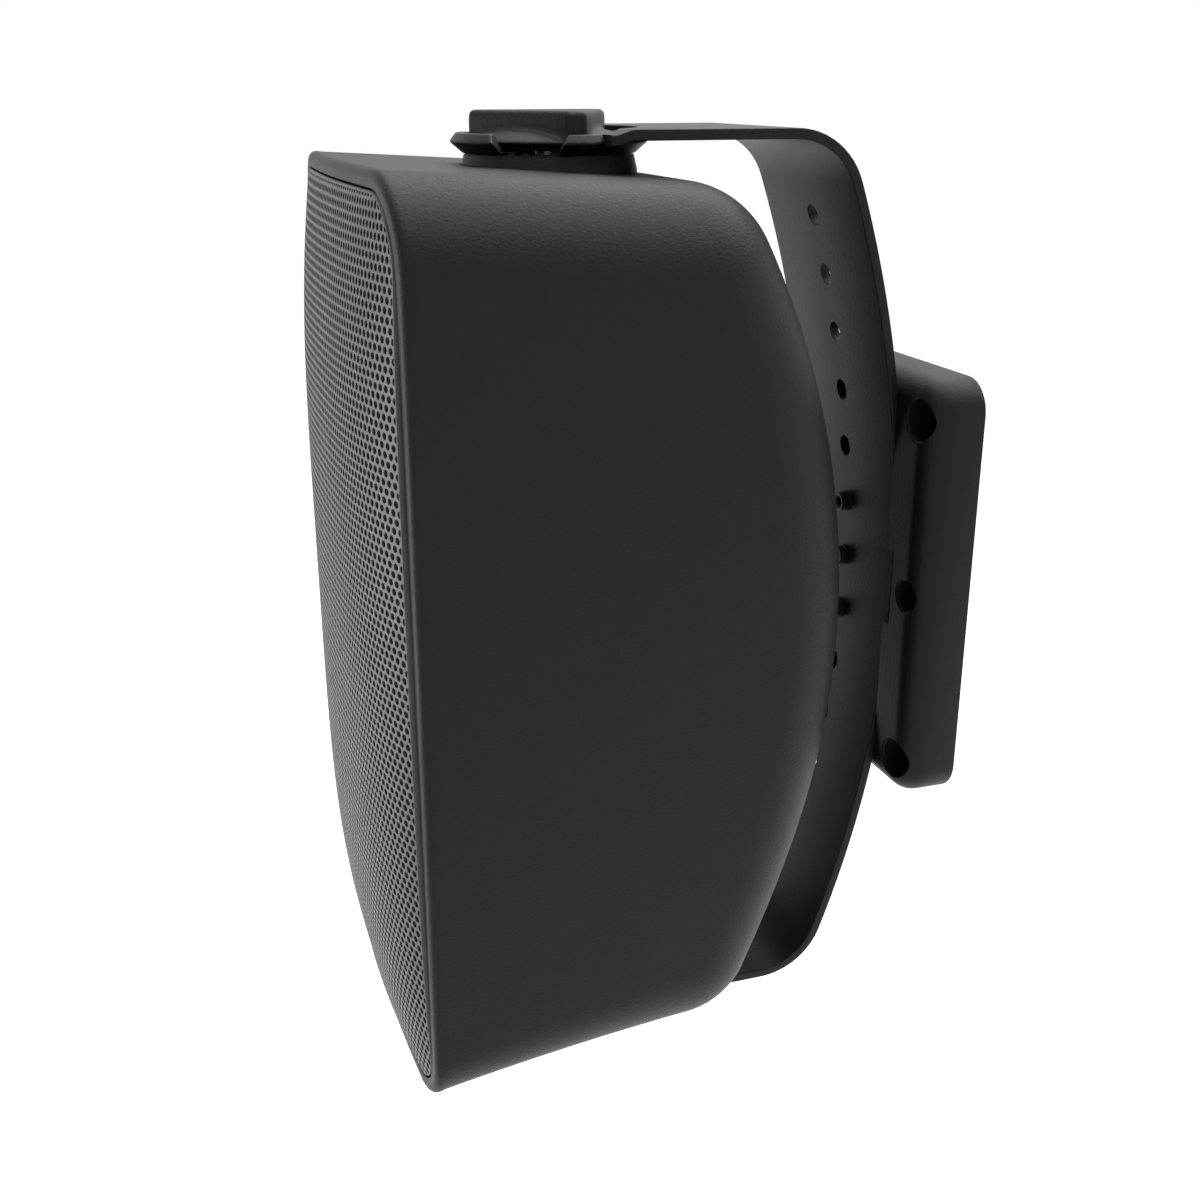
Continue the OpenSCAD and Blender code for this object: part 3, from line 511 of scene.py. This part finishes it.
# %% Tree of the perforated sheet: thicken and bend
up = add(sheet, "ShaderNodeCombineXYZ", {"Z": 1.0}).outputs[0]
raised = add(sheet, "GeometryNodeExtrudeMesh", {"Mesh": flat.outputs[0], "Offset": up,
                                                "Offset Scale": given["Thickness"],
                                                "Individual": False}, mode="FACES")
under = add(sheet, "GeometryNodeFlipFaces", {"Mesh": flat.outputs[0]})
halves = add(sheet, "GeometryNodeJoinGeometry")
sheet.links.new(raised.outputs["Mesh"], halves.inputs[0])
sheet.links.new(under.outputs[0], halves.inputs[0])
closed = add(sheet, "GeometryNodeMergeByDistance",
             {"Geometry": halves.outputs[0], "Distance": SKIN_GAP})
at = add(sheet, "ShaderNodeSeparateXYZ", {0: add(sheet, "GeometryNodeInputPosition").outputs[0]})
ux = calc(sheet, "DIVIDE", at.outputs["X"], HALF_W)
uz = calc(sheet, "DIVIDE", at.outputs["Y"], HALF_H)
u2 = calc(sheet, "MULTIPLY", ux, ux)
w2 = calc(sheet, "MULTIPLY", uz, uz)
u4 = calc(sheet, "MULTIPLY", u2, u2)
w4 = calc(sheet, "MULTIPLY", w2, w2)
fall_x = calc(sheet, "SUBTRACT", 1.0, u4)
fall_z = calc(sheet, "SUBTRACT", 1.0, w4)
fall = calc(sheet, "MULTIPLY", fall_x, fall_z)
puff = calc(sheet, "MULTIPLY", fall, given["Rise"])
fall_u = calc(sheet, "SUBTRACT", 1.0, u2)
arch = calc(sheet, "MULTIPLY", fall_u, given["Bow"])
forward = calc(sheet, "ADD", puff, arch)
behind = calc(sheet, "SUBTRACT", given["Thickness"], at.outputs["Z"])
depth = calc(sheet, "SUBTRACT", behind, forward)
world_y = calc(sheet, "ADD", depth, FRONT + RECESS + AXIS_MM)
bent_at = add(sheet, "ShaderNodeCombineXYZ",
              {"X": at.outputs["X"], "Y": world_y, "Z": at.outputs["Y"]})
bent = add(sheet, "GeometryNodeSetPosition",
           {"Geometry": closed.outputs[0], "Position": bent_at.outputs[0]})
small = add(sheet, "GeometryNodeTransform", {"Geometry": bent.outputs[0], "Scale": (MM, MM, MM)})
painted = add(sheet, "GeometryNodeSetMaterial", {"Geometry": small.outputs[0],
                                                 "Material": finishes["grille_steel"]})
add(sheet, "NodeGroupOutput", {0: painted.outputs[0]})
print("the sheet's tree has", len(sheet.nodes), "nodes")

# %% Run a tree and keep its result as a plain mesh
def evaluated_mesh(piece):
    bpy.context.view_layer.update()
    ready = piece.evaluated_get(bpy.context.evaluated_depsgraph_get())
    return bpy.data.meshes.new_from_object(ready)


def run_tree(name, tree, sizes, start):
    carrier = bpy.data.objects.new(name + "_carrier", start)
    bpy.context.scene.collection.objects.link(carrier)
    modifier = carrier.modifiers.new("nodes", "NODES")
    modifier.node_group = tree
    for item in tree.interface.items_tree:
        if item.in_out == "INPUT" and item.name in sizes:
            modifier[item.identifier] = sizes[item.name]
    mesh = evaluated_mesh(carrier)
    bpy.data.objects.remove(carrier)
    mesh.name = name
    piece = bpy.data.objects.new(name, mesh)
    bpy.context.scene.collection.objects.link(piece)
    return piece


settle(run_tree("perforated_grille", sheet, sheet_sizes, scraps), "grille_steel", "enclosure",
       ["grille"])

# %% [markdown]
# ## The grille's folded edge
# A sheet with raw holes would be sharp and soft at its edge, so the real one is folded back
# all round. A narrow ring follows the outline, rolls over and runs back into the cabinet.

# %% Folded edge
fold = [(0.65, -0.02), (0.45, 0.02), (0.22, 0.14), (0.06, 0.4), (0.0, 0.9), (0.0, 6.0),
        (0.7, 6.0), (0.7, 1.35), (0.65, 1.25)]
points = []
for inset, dy in fold:
    for x, z, _, _ in rounded_outline(GRILLE_HW - inset, GRILLE_HH - inset, GRILLE_R - inset,
                                      side=40, low_r=GRILLE_LOW_R - inset):
        points.append((x * MM, AXIS_Y + (pillow(x, z) + dy) * MM, z * MM))
around = len(points) // len(fold)
make_piece("grille_folded_edge", points, ring_faces(len(fold), around, closed=True), "grille_steel",
           "enclosure")

# %% [markdown]
# ## The steel bracket
# The bracket is one strap of 3 mm steel, bent into a wide C: two flat arms that step down
# beside the clamp rings, two tight bends and a long shallow arc behind, with thirteen tilt
# holes. The strap's section, with its broken edges, is carried along the side outline. The
# holes and the round ends that take the clamp rings are cut afterwards with one Boolean.

# %% Side outline of the strap
STRAP_HALF, STRAP_W, STRAP_T, BEND_R, ARC_R = 138.0, 64.5, 3.0, 22.6, 364.0
ARC_Y = 105.3 - ARC_R
TILT_STEP, TILT_HOLE_R, END_CUT_R = 3, 3.4, 25.4
bend_z = STRAP_HALF - BEND_R
bend_y = ARC_Y + math.sqrt((ARC_R - BEND_R) ** 2 - bend_z ** 2)
bend_a = math.atan2(bend_z, bend_y - ARC_Y)


def strap_outline():
    upper = [(8, 136.6, 0, 1), (9.6, 136.6, 0, 1), (10.3, 136.75, -0.28, 0.96),
             (13.7, 137.85, -0.28, 0.96), (14.6, 138, 0, 1), (40, 138, 0, 1), (60, 138, 0, 1)]
    for k in range(17):
        a = math.pi / 2 + (bend_a - math.pi / 2) * k / 16
        upper.append((bend_y + BEND_R * math.cos(a), bend_z + BEND_R * math.sin(a),
                      math.cos(a), math.sin(a)))
    for k in range(1, 31):
        a = bend_a * (1 - k / 30)
        upper.append((ARC_Y + ARC_R * math.cos(a), ARC_R * math.sin(a), math.cos(a), math.sin(a)))
    return upper + [(y, -z, ny, -nz) for y, z, ny, nz in reversed(upper[:-1])]


print("strap stations:", len(strap_outline()))

# %% Strap, holes and ends
def strap_section(edge=0.4):
    half, section = STRAP_W / 2, []
    for cx, cd, start in ((1, 0, 0), (-1, 0, 90), (-1, 1, 180), (1, 1, 270)):
        for k in range(5):
            a = math.radians(start + 22.5 * k)
            middle = edge if cd == 0 else STRAP_T - edge
            section.append(((half - edge) * cx + edge * math.cos(a), middle - edge * math.sin(a)))
        if start == 0:
            section += [(5, 0), (-5, 0)]
        if start == 180:
            section += [(-5, STRAP_T), (5, STRAP_T)]
    return section


points, stations = [], strap_outline()
for y, z, ny, nz in stations:
    size = math.hypot(ny, nz)
    for x, d in strap_section():
        points.append((x * MM, AXIS_Y + (y - ny / size * d) * MM, (z - nz / size * d) * MM))
around = len(strap_section())
faces = ring_faces(len(stations), around)
faces += [tuple(range(around)), tuple(range(len(points) - around, len(points)))]
strap = make_piece("steel_strap", points, faces, "powder_coat", None)


def rod(work, r, start, end, sides):
    start, end = Vector(start), Vector(end)
    turn = (end - start).to_track_quat("Z", "Y").to_matrix().to_4x4()
    turn.translation = (start + end) / 2 * MM
    bmesh.ops.create_cone(work, cap_ends=True, segments=sides, radius1=r * MM, radius2=r * MM,
                          depth=(end - start).length * MM, matrix=turn)


def cut(piece, work, name):
    mesh = bpy.data.meshes.new(name)
    bmesh.ops.recalc_face_normals(work, faces=work.faces)
    work.to_mesh(mesh)
    work.free()
    tool = bpy.data.objects.new(name, mesh)
    bpy.context.scene.collection.objects.link(tool)
    modifier = piece.modifiers.new("cut", "BOOLEAN")
    modifier.operation, modifier.solver, modifier.object = "DIFFERENCE", "EXACT", tool
    piece.data = evaluated_mesh(piece)
    piece.modifiers.clear()
    bpy.data.objects.remove(tool)
    return piece


tools = bmesh.new()
for k in range(-6, 7):
    a = math.radians(TILT_STEP * k)
    line = [(0, ARC_Y + AXIS_MM + s * math.cos(a), s * math.sin(a)) for s in (ARC_R - 8, ARC_R + 6)]
    rod(tools, TILT_HOLE_R, line[0], line[1], 32)
for flip in (1, -1):
    rod(tools, END_CUT_R, (0, AXIS_MM, 126 * flip), (0, AXIS_MM, 146 * flip), 128)
settle(cut(strap, tools, "strap_tools"), "powder_coat", "wall_bracket", ["u_bracket"])

# %% [markdown]
# ## The clamp rings
# At each end of the swivel a round eye with a V-shaped rim sits on the cabinet's boss. Two
# windows in it show the teeth below. It is a turned profile with two wedges cut out, and
# the wedges widen upwards, which makes the ramps at the windows' ends. A fine voxel remesh
# and a few smoothing steps then soften every edge at once, which no plain bevel would do as
# evenly. The voxels are smaller than the softest edge, and big enough to stay quick.

# %% Clamp rings
RING = [(5, 132), (24.1, 132), (24.1, 131), (24.5, 131), (28.3, 134.2), (26.4, 136.6),
        (23.4, 136.6), (23.4, 133.4), (5, 133.4)]
WINDOW_TURN, WINDOW_SPREADS = 31, ((128, 12), (142, 33))
WINDOW_CORNERS = ((17.5, -1.25), (17.5, 1.25), (44, 0.8), (44, -0.8))
VOXEL_MM, SMOOTHINGS = 0.42, 5


def soften(piece):
    remesh = piece.modifiers.new("remesh", "REMESH")
    remesh.mode, remesh.voxel_size = "VOXEL", VOXEL_MM * MM
    smooth = piece.modifiers.new("smooth", "SMOOTH")
    smooth.factor, smooth.iterations = 0.5, SMOOTHINGS
    piece.data = evaluated_mesh(piece)
    piece.modifiers.clear()
    return piece


for side, flip in (("top", 1), ("bottom", -1)):
    points, _ = lathe(RING, 128, flip)
    faces = ring_faces(len(RING), 128, closed=True)
    ring = make_piece(side + "_clamp_eye", points, faces, "powder_coat", None)
    tools = bmesh.new()
    for turned in (90, -90):
        middle = math.radians(turned - 90 - turned / 90 * WINDOW_TURN)
        ends = []
        for level, spread in WINDOW_SPREADS:
            corners = []
            for r, side_turn in WINDOW_CORNERS:
                a = middle + math.radians(spread * side_turn)
                corners.append((r * math.cos(a), r * math.sin(a) + AXIS_MM, level * flip))
            ends.append([tools.verts.new((x * MM, y * MM, z * MM)) for x, y, z in corners])
        low, top = ends
        tools.faces.new(low)
        tools.faces.new(top)
        for a in range(4):
            tools.faces.new((low[a], low[(a + 1) % 4], top[(a + 1) % 4], top[a]))
    cut(ring, tools, "window_tools")
    settle(soften(ring), "powder_coat", "wall_bracket", [side + "_clamp_ring"], angle=0)

# %% [markdown]
# ## The ratchet teeth
# Low radial teeth on each boss bite into the clamp ring. They repeat round a circle, so a
# small tree sets half-round ridges on a circle of points and joins them to their seat.

# %% Tree of the ratchet
ratchet = bpy.data.node_groups.new("ratchet_ring", "GeometryNodeTree")
ratchet.interface.new_socket(name="Geometry", in_out="OUTPUT", socket_type="NodeSocketGeometry")
ratchet.interface.new_socket(name="Geometry", in_out="INPUT", socket_type="NodeSocketGeometry")
ratchet.interface.new_socket(name="Count", in_out="INPUT", socket_type="NodeSocketInt")
for size in ("Radius", "Length", "Width", "Turn", "Height"):
    ratchet.interface.new_socket(name=size, in_out="INPUT", socket_type="NodeSocketFloat")
given = add(ratchet, "NodeGroupInput").outputs
circle = add(ratchet, "GeometryNodeCurvePrimitiveCircle",
             {"Resolution": given["Count"], "Radius": given["Radius"]})
marks = add(ratchet, "GeometryNodeCurveToPoints", {"Curve": circle.outputs["Curve"]},
            mode="EVALUATED")
ridge = add(ratchet, "GeometryNodeMeshCylinder", {"Vertices": 14, "Radius": given["Width"],
                                                  "Depth": given["Length"]})
lying = add(ratchet, "GeometryNodeTransform", {"Geometry": ridge.outputs["Mesh"],
                                               "Rotation": (math.pi / 2, 0, 0)})
number = add(ratchet, "GeometryNodeInputIndex").outputs[0]
share = calc(ratchet, "DIVIDE", number, given["Count"])
angle = calc(ratchet, "MULTIPLY", share, 2 * math.pi)
quarter = calc(ratchet, "SUBTRACT", angle, math.pi / 2)
facing = add(ratchet, "ShaderNodeCombineXYZ", {"Z": quarter}).outputs[0]
teeth = add(ratchet, "GeometryNodeInstanceOnPoints",
            {"Points": marks.outputs["Points"], "Instance": lying.outputs[0], "Rotation": facing})
solid = add(ratchet, "GeometryNodeRealizeInstances", {0: teeth.outputs[0]})
spin = add(ratchet, "ShaderNodeCombineXYZ", {"Z": given["Turn"]}).outputs[0]
lift = add(ratchet, "ShaderNodeCombineXYZ", {"Y": AXIS_Y, "Z": given["Height"]}).outputs[0]
placed = add(ratchet, "GeometryNodeTransform", {"Geometry": solid.outputs[0], "Rotation": spin,
                                                "Translation": lift})
joined = add(ratchet, "GeometryNodeJoinGeometry")
ratchet.links.new(given["Geometry"], joined.inputs[0])
ratchet.links.new(placed.outputs[0], joined.inputs[0])
coated = add(ratchet, "GeometryNodeSetMaterial", {"Geometry": joined.outputs[0],
                                                  "Material": finishes["moulded_black"]})
add(ratchet, "NodeGroupOutput", {0: coated.outputs[0]})

# %% Ratchet rings
SEAT = [(19, 130.5), (19, 130.95), (19.2, 131.05), (23.6, 131.05), (23.8, 130.95), (23.8, 130.5)]
for side, flip in (("top", 1), ("bottom", -1)):
    seat = bpy.data.meshes.new(side + "_seat")
    seat_points, _ = lathe(SEAT, 96, flip)
    seat_faces = ring_faces(len(SEAT), 96, closed=True)
    seat.from_pydata(seat_points, [], [f if flip < 0 else f[::-1] for f in seat_faces])
    sizes = {"Count": 36, "Radius": 21.6 * MM, "Length": 4.2 * MM, "Width": 0.85 * MM,
             "Turn": math.radians(-2), "Height": 130.9 * MM * flip}
    settle(run_tree(side + "_ratchet", ratchet, sizes, seat), "moulded_black", "enclosure",
           [side + "_ratchet_teeth"], angle=40)

# %% [markdown]
# ## The knobs
# Each knob is a round base with a slight dome, and on it a three-pointed grip with straight
# sides and blunt tips. The grip is lofted from offset copies of its own outline: wide at the
# foot for the fillet, straight for the wall, then drawn in round the top edge. Offsetting
# along the corner arcs keeps each ring the same distance from the last.

# %% Knob outlines
DISC_Z, KNOB_R, GRIP_W, TIP_TURN = 134.4, 23.0, 5.6, 3.7
TIP_ROUND = 1.9


def grip_centres():
    corners = []
    for k in range(3):
        for s in (-1, 1):
            a, w = math.radians(TIP_TURN + 120 * k), s * GRIP_W / 2
            r = KNOB_R - 0.3
            corners.append(Vector((r * math.cos(a) - w * math.sin(a),
                                   r * math.sin(a) + w * math.cos(a))))
    middles = []
    for i in range(6):
        before = (corners[i] - corners[i - 1]).normalized()
        after = (corners[(i + 1) % 6] - corners[i]).normalized()
        n1, n2 = Vector((before.y, -before.x)), Vector((after.y, -after.x))
        half = (n1 + n2) / (1 + n1.dot(n2))
        middles.append((corners[i] - half * TIP_ROUND, n1, n2))
    return middles


def grip_outline(offset):
    points, centres = [], grip_centres()
    for i, (c, n1, n2) in enumerate(centres):
        a1, turn = math.atan2(n1.y, n1.x), n1.angle_signed(n2)
        for k in range(6):
            a = a1 - turn * k / 5
            points.append(c + Vector((math.cos(a), math.sin(a))) * (TIP_ROUND + offset))
        c2, n3, _ = centres[(i + 1) % 6]
        start, end = points[-1], c2 + n3 * (TIP_ROUND + offset)
        for k in range(1, 8):
            points.append(start.lerp(end, k / 8))
    limit = KNOB_R - 0.15
    return [p if p.length < limit else p * (limit / p.length) for p in points]


print("grip outline points:", len(grip_outline(0)))

# %% Knob base and grip
def dome_z(r):
    return DISC_Z + 3.7 - 3.4 * (r / KNOB_R) ** 4


BASE = [(4.2, 133.7), (22.2, 133.7), (22.8, 133.9), (23, 134.3)]
BASE += [(r, dome_z(r) - max(0, r - 21.5) * 0.1)
         for r in (22.9, 22.6, 22.2, 21.5, 20.5, 19, 17, 14, 10, 6, 2, 0.5)]
GRIP = [(1.7, None, -0.06), (1.05, None, 0.1), (0.5, None, 0.42), (0.15, None, 0.95),
        (0, None, 1.6), (-0.03, 140.0, 0), (-0.1, 140.9, 0)]
TOP_ROUND = 1.7
for a in map(math.radians, (18, 36, 54, 72, 90)):
    GRIP.append((-0.1 - TOP_ROUND * (1 - math.cos(a)), 140.9 + TOP_ROUND * math.sin(a), 0))
for side, flip in (("top", 1), ("bottom", -1)):
    points, faces = lathe(BASE, 96, flip)
    faces += [tuple(range(96)), tuple(range(len(points) - 96, len(points)))]
    first, around = len(points), len(grip_outline(0))
    for offset, level, over in GRIP:
        for p in grip_outline(offset):
            z = level if level else dome_z(p.length) + over
            points.append((p.x * MM, AXIS_Y + p.y * MM, z * MM * flip))
    faces += [tuple(first + i for i in f) for f in ring_faces(len(GRIP), around)]
    faces += [tuple(range(first, first + around)), tuple(range(len(points) - around, len(points)))]
    make_piece(side + "_hand_knob", points, faces, "knob_plastic", side + "_knob",
               [side + "_knob"], angle=40)

# %% [markdown]
# ## The wall plate
# The plate is a moulding with its front edges well rounded, a channel that the strap lies
# in, and counterbored screw holes whose rims are chamfered. The block is lofted from offset
# outlines. One Boolean cuts the channel and the holes, and a second one the finger reliefs,
# because they run into the channel.

# %% Wall plate block
PLATE_HW, PLATE_HH, PLATE_D, PLATE_ROUND, PLATE_CORNER = 52.8, 67.4, 18.1, 8.0, 10.5
steps = [(0.5, 0.0), (0.15, 0.15), (0.0, 0.5), (0.0, PLATE_D - PLATE_ROUND)]
for a in map(math.radians, range(9, 91, 9)):
    steps.append((PLATE_ROUND * (1 - math.cos(a)),
                  PLATE_D - PLATE_ROUND + PLATE_ROUND * math.sin(a)))
points = []
for inset, depth_mm in steps:
    for x, z, _, _ in rounded_outline(PLATE_HW - inset, PLATE_HH - inset, PLATE_CORNER - inset,
                                      side=2):
        points.append((x * MM, -depth_mm * MM, z * MM))
around = len(points) // len(steps)
faces = ring_faces(len(steps), around)
faces += [tuple(range(around)), tuple(range(len(points) - around, len(points)))]
plate = make_piece("wall_plate_moulding", points, faces, "plate_plastic", None)

# %% Cuts in the wall plate
def turned_cutter(work, x, z, profile, sides=40):
    rings = []
    for r, y in profile:
        rings.append([work.verts.new(((x + r * math.cos(2 * math.pi * k / sides)) * MM, y * MM,
                                      (z + r * math.sin(2 * math.pi * k / sides)) * MM))
                      for k in range(sides)])
    for one, two in zip(rings, rings[1:]):
        for k in range(sides):
            work.faces.new((one[k], one[(k + 1) % sides], two[(k + 1) % sides], two[k]))
    work.faces.new(rings[0])
    work.faces.new(rings[-1])


tools = bmesh.new()
CORNER_HOLE = [(2.6, 1), (2.6, -6), (6.4, -6), (6.4, -17.2), (6.8, -17.6), (6.8, -22)]
MIDDLE_HOLE = [(2.2, 1), (2.2, -6), (5.0, -6), (5.0, -17.3), (5.5, -17.7), (5.5, -22)]
HOLE_X, HOLE_Z = 44.4, 55.4
for x in (-HOLE_X, HOLE_X):
    for z in (-HOLE_Z, HOLE_Z):
        turned_cutter(tools, x, z, CORNER_HOLE)
    turned_cutter(tools, x, 0, MIDDLE_HOLE)
BED_R, BED_HALF = ARC_R + 0.1, STRAP_W / 2 + 0.3
bed = []
for k in range(-24, 25):
    a = math.radians(11 * k / 24)
    bed.append((ARC_Y + AXIS_MM + BED_R * math.cos(a), BED_R * math.sin(a)))
bed += [(-40, 70), (-40, -70)]
walls = [[tools.verts.new((x * BED_HALF * MM, y * MM, z * MM)) for y, z in bed] for x in (-1, 1)]
for k in range(len(bed)):
    n = (k + 1) % len(bed)
    tools.faces.new((walls[0][k], walls[0][n], walls[1][n], walls[1][k]))
tools.faces.new(walls[0])
tools.faces.new(walls[1])
cut(plate, tools, "plate_tools")
tools = bmesh.new()
for x in (-34.2, 34.2):
    made = bmesh.ops.create_cube(tools, size=1)["verts"]
    bmesh.ops.scale(tools, verts=made, vec=(4.4 * MM, 14 * MM, 24 * MM))
    bmesh.ops.translate(tools, verts=made, vec=(x * MM, -19.6 * MM, 0))
cut(plate, tools, "relief_tools")
settle(plate, "plate_plastic", "wall_bracket", ["wall_plate"])

# %% [markdown]
# ## The tilt pegs
# Three steel pegs, painted matt black, lock the strap to the plate. Each is turned, with two
# grip grooves near its head and a small recess in it, and stands square to the strap.

# %% Tilt pegs
peg = [(0.4, 360.4), (1.6, 360.4), (1.75, 358.5), (2.6, 358.3), (3.3, 358.7)]
for k in range(2):
    s0 = 359.2 + 0.75 * k
    peg += [(3.3, s0), (3.0, s0 + 0.15), (3.0, s0 + 0.35), (3.3, s0 + 0.5)]
peg += [(3.3, 370.4), (2.8, 371), (0.4, 371)]
points, faces = [], []
for k in (-1, 0, 1):
    a, first = math.radians(TILT_STEP * k), len(points)
    for r, s in peg:
        for m in range(32):
            b = 2 * math.pi * m / 32
            side_x, side_t = r * math.cos(b), r * math.sin(b)
            y = ARC_Y + AXIS_MM + s * math.cos(a) - side_t * math.sin(a)
            z = s * math.sin(a) + side_t * math.cos(a)
            points.append((side_x * MM, y * MM, z * MM))
    faces += [tuple(first + i for i in f) for f in ring_faces(len(peg), 32)]
    faces += [tuple(range(first, first + 32)), tuple(range(len(points) - 32, len(points)))]
make_piece("tilt_pegs_turned", points, faces, "peg_steel", "wall_bracket", ["tilt_pegs"])

# %% [markdown]
# ## Floor, world and lamps
# The photograph is a studio picture on white. The white backdrop behind the speaker mirrors
# in the top faces at a flat angle, which is why they look so light. The camera sees the world
# as plain white, and so do mirrors and glass. The light that black plastic scatters comes
# mostly from the backdrop's side, because the room beside the camera is dim. The floor is
# lit paper, and for the camera, mirrors and glass a little glow lifts it to white. The
# speaker hangs high over it, so its soft shadow is lost in the white, as in the photograph.

# %% World
world = bpy.data.worlds.new("studio")
bpy.context.scene.world = world
world.use_nodes = True
sky = world.node_tree
back = sky.nodes["Background"]
back.inputs["Color"].default_value = (1, 1, 1, 1)
path = add(sky, "ShaderNodeLightPath").outputs
towards = add(sky, "ShaderNodeTexCoord").outputs["Generated"]
east = add(sky, "ShaderNodeSeparateXYZ", {0: towards}).outputs["X"]
room = add(sky, "ShaderNodeMapRange",
           {"Value": east, "From Min": -0.5, "From Max": 0.3, "To Min": 1.0, "To Max": 0.1},
           interpolation_type="SMOOTHSTEP")
level = room.outputs["Result"]
for kind in ("Is Camera Ray", "Is Glossy Ray", "Is Transmission Ray"):
    level = calc(sky, "MAXIMUM", level, path[kind])
sky.links.new(level, back.inputs["Strength"])
print("the backdrop is white, and the room beside the camera is at 0.1")

# %% Floor
FLOOR_Z, FLOOR_GLOW = -0.42, 0.6
floor_mesh = bpy.data.meshes.new("studio_floor")
floor_mesh.from_pydata([(x, y, FLOOR_Z) for x, y in ((-6, -6), (6, -6), (6, 6), (-6, 6))], [],
                       [(0, 1, 2, 3)])
floor = bpy.data.objects.new("studio_floor", floor_mesh)
bpy.context.scene.collection.objects.link(floor)
paper = bpy.data.materials.new("white_studio_paper")
paper.use_nodes = True
tree = paper.node_tree
tree.nodes["Principled BSDF"].inputs["Base Color"].default_value = (0.8, 0.8, 0.8, 1)
tree.nodes["Principled BSDF"].inputs["Roughness"].default_value = 0.9
seen = add(tree, "ShaderNodeLightPath").outputs
amount = seen["Is Camera Ray"]
for kind in ("Is Glossy Ray", "Is Transmission Ray"):
    amount = calc(tree, "MAXIMUM", amount, seen[kind])
lift = calc(tree, "MULTIPLY", amount, FLOOR_GLOW)
glow = add(tree, "ShaderNodeEmission", {"Strength": lift})
lit = add(tree, "ShaderNodeAddShader",
          {0: tree.nodes["Principled BSDF"].outputs[0], 1: glow.outputs[0]})
tree.links.new(lit.outputs[0], tree.nodes["Material Output"].inputs["Surface"])
floor_mesh.materials.append(paper)

# %% Lamps
def soft_box(name, place, aim, size, power):
    data = bpy.data.lights.new(name, "AREA")
    data.shape, data.size, data.energy = "SQUARE", size, power
    lamp = bpy.data.objects.new(name, data)
    lamp.location = place
    lamp.rotation_euler = (Vector(aim) - Vector(place)).to_track_quat("-Z", "Y").to_euler()
    bpy.context.scene.collection.objects.link(lamp)


soft_box("overhead_soft_box", (-0.2, 0.35, 1.3), (0, -0.1, 0), 1.9, 36)
soft_box("front_soft_box", (-0.5, -1.2, -0.12), (0, -0.1, -0.1), 0.6, 6)
bpy.context.scene.view_settings.view_transform = "Standard"
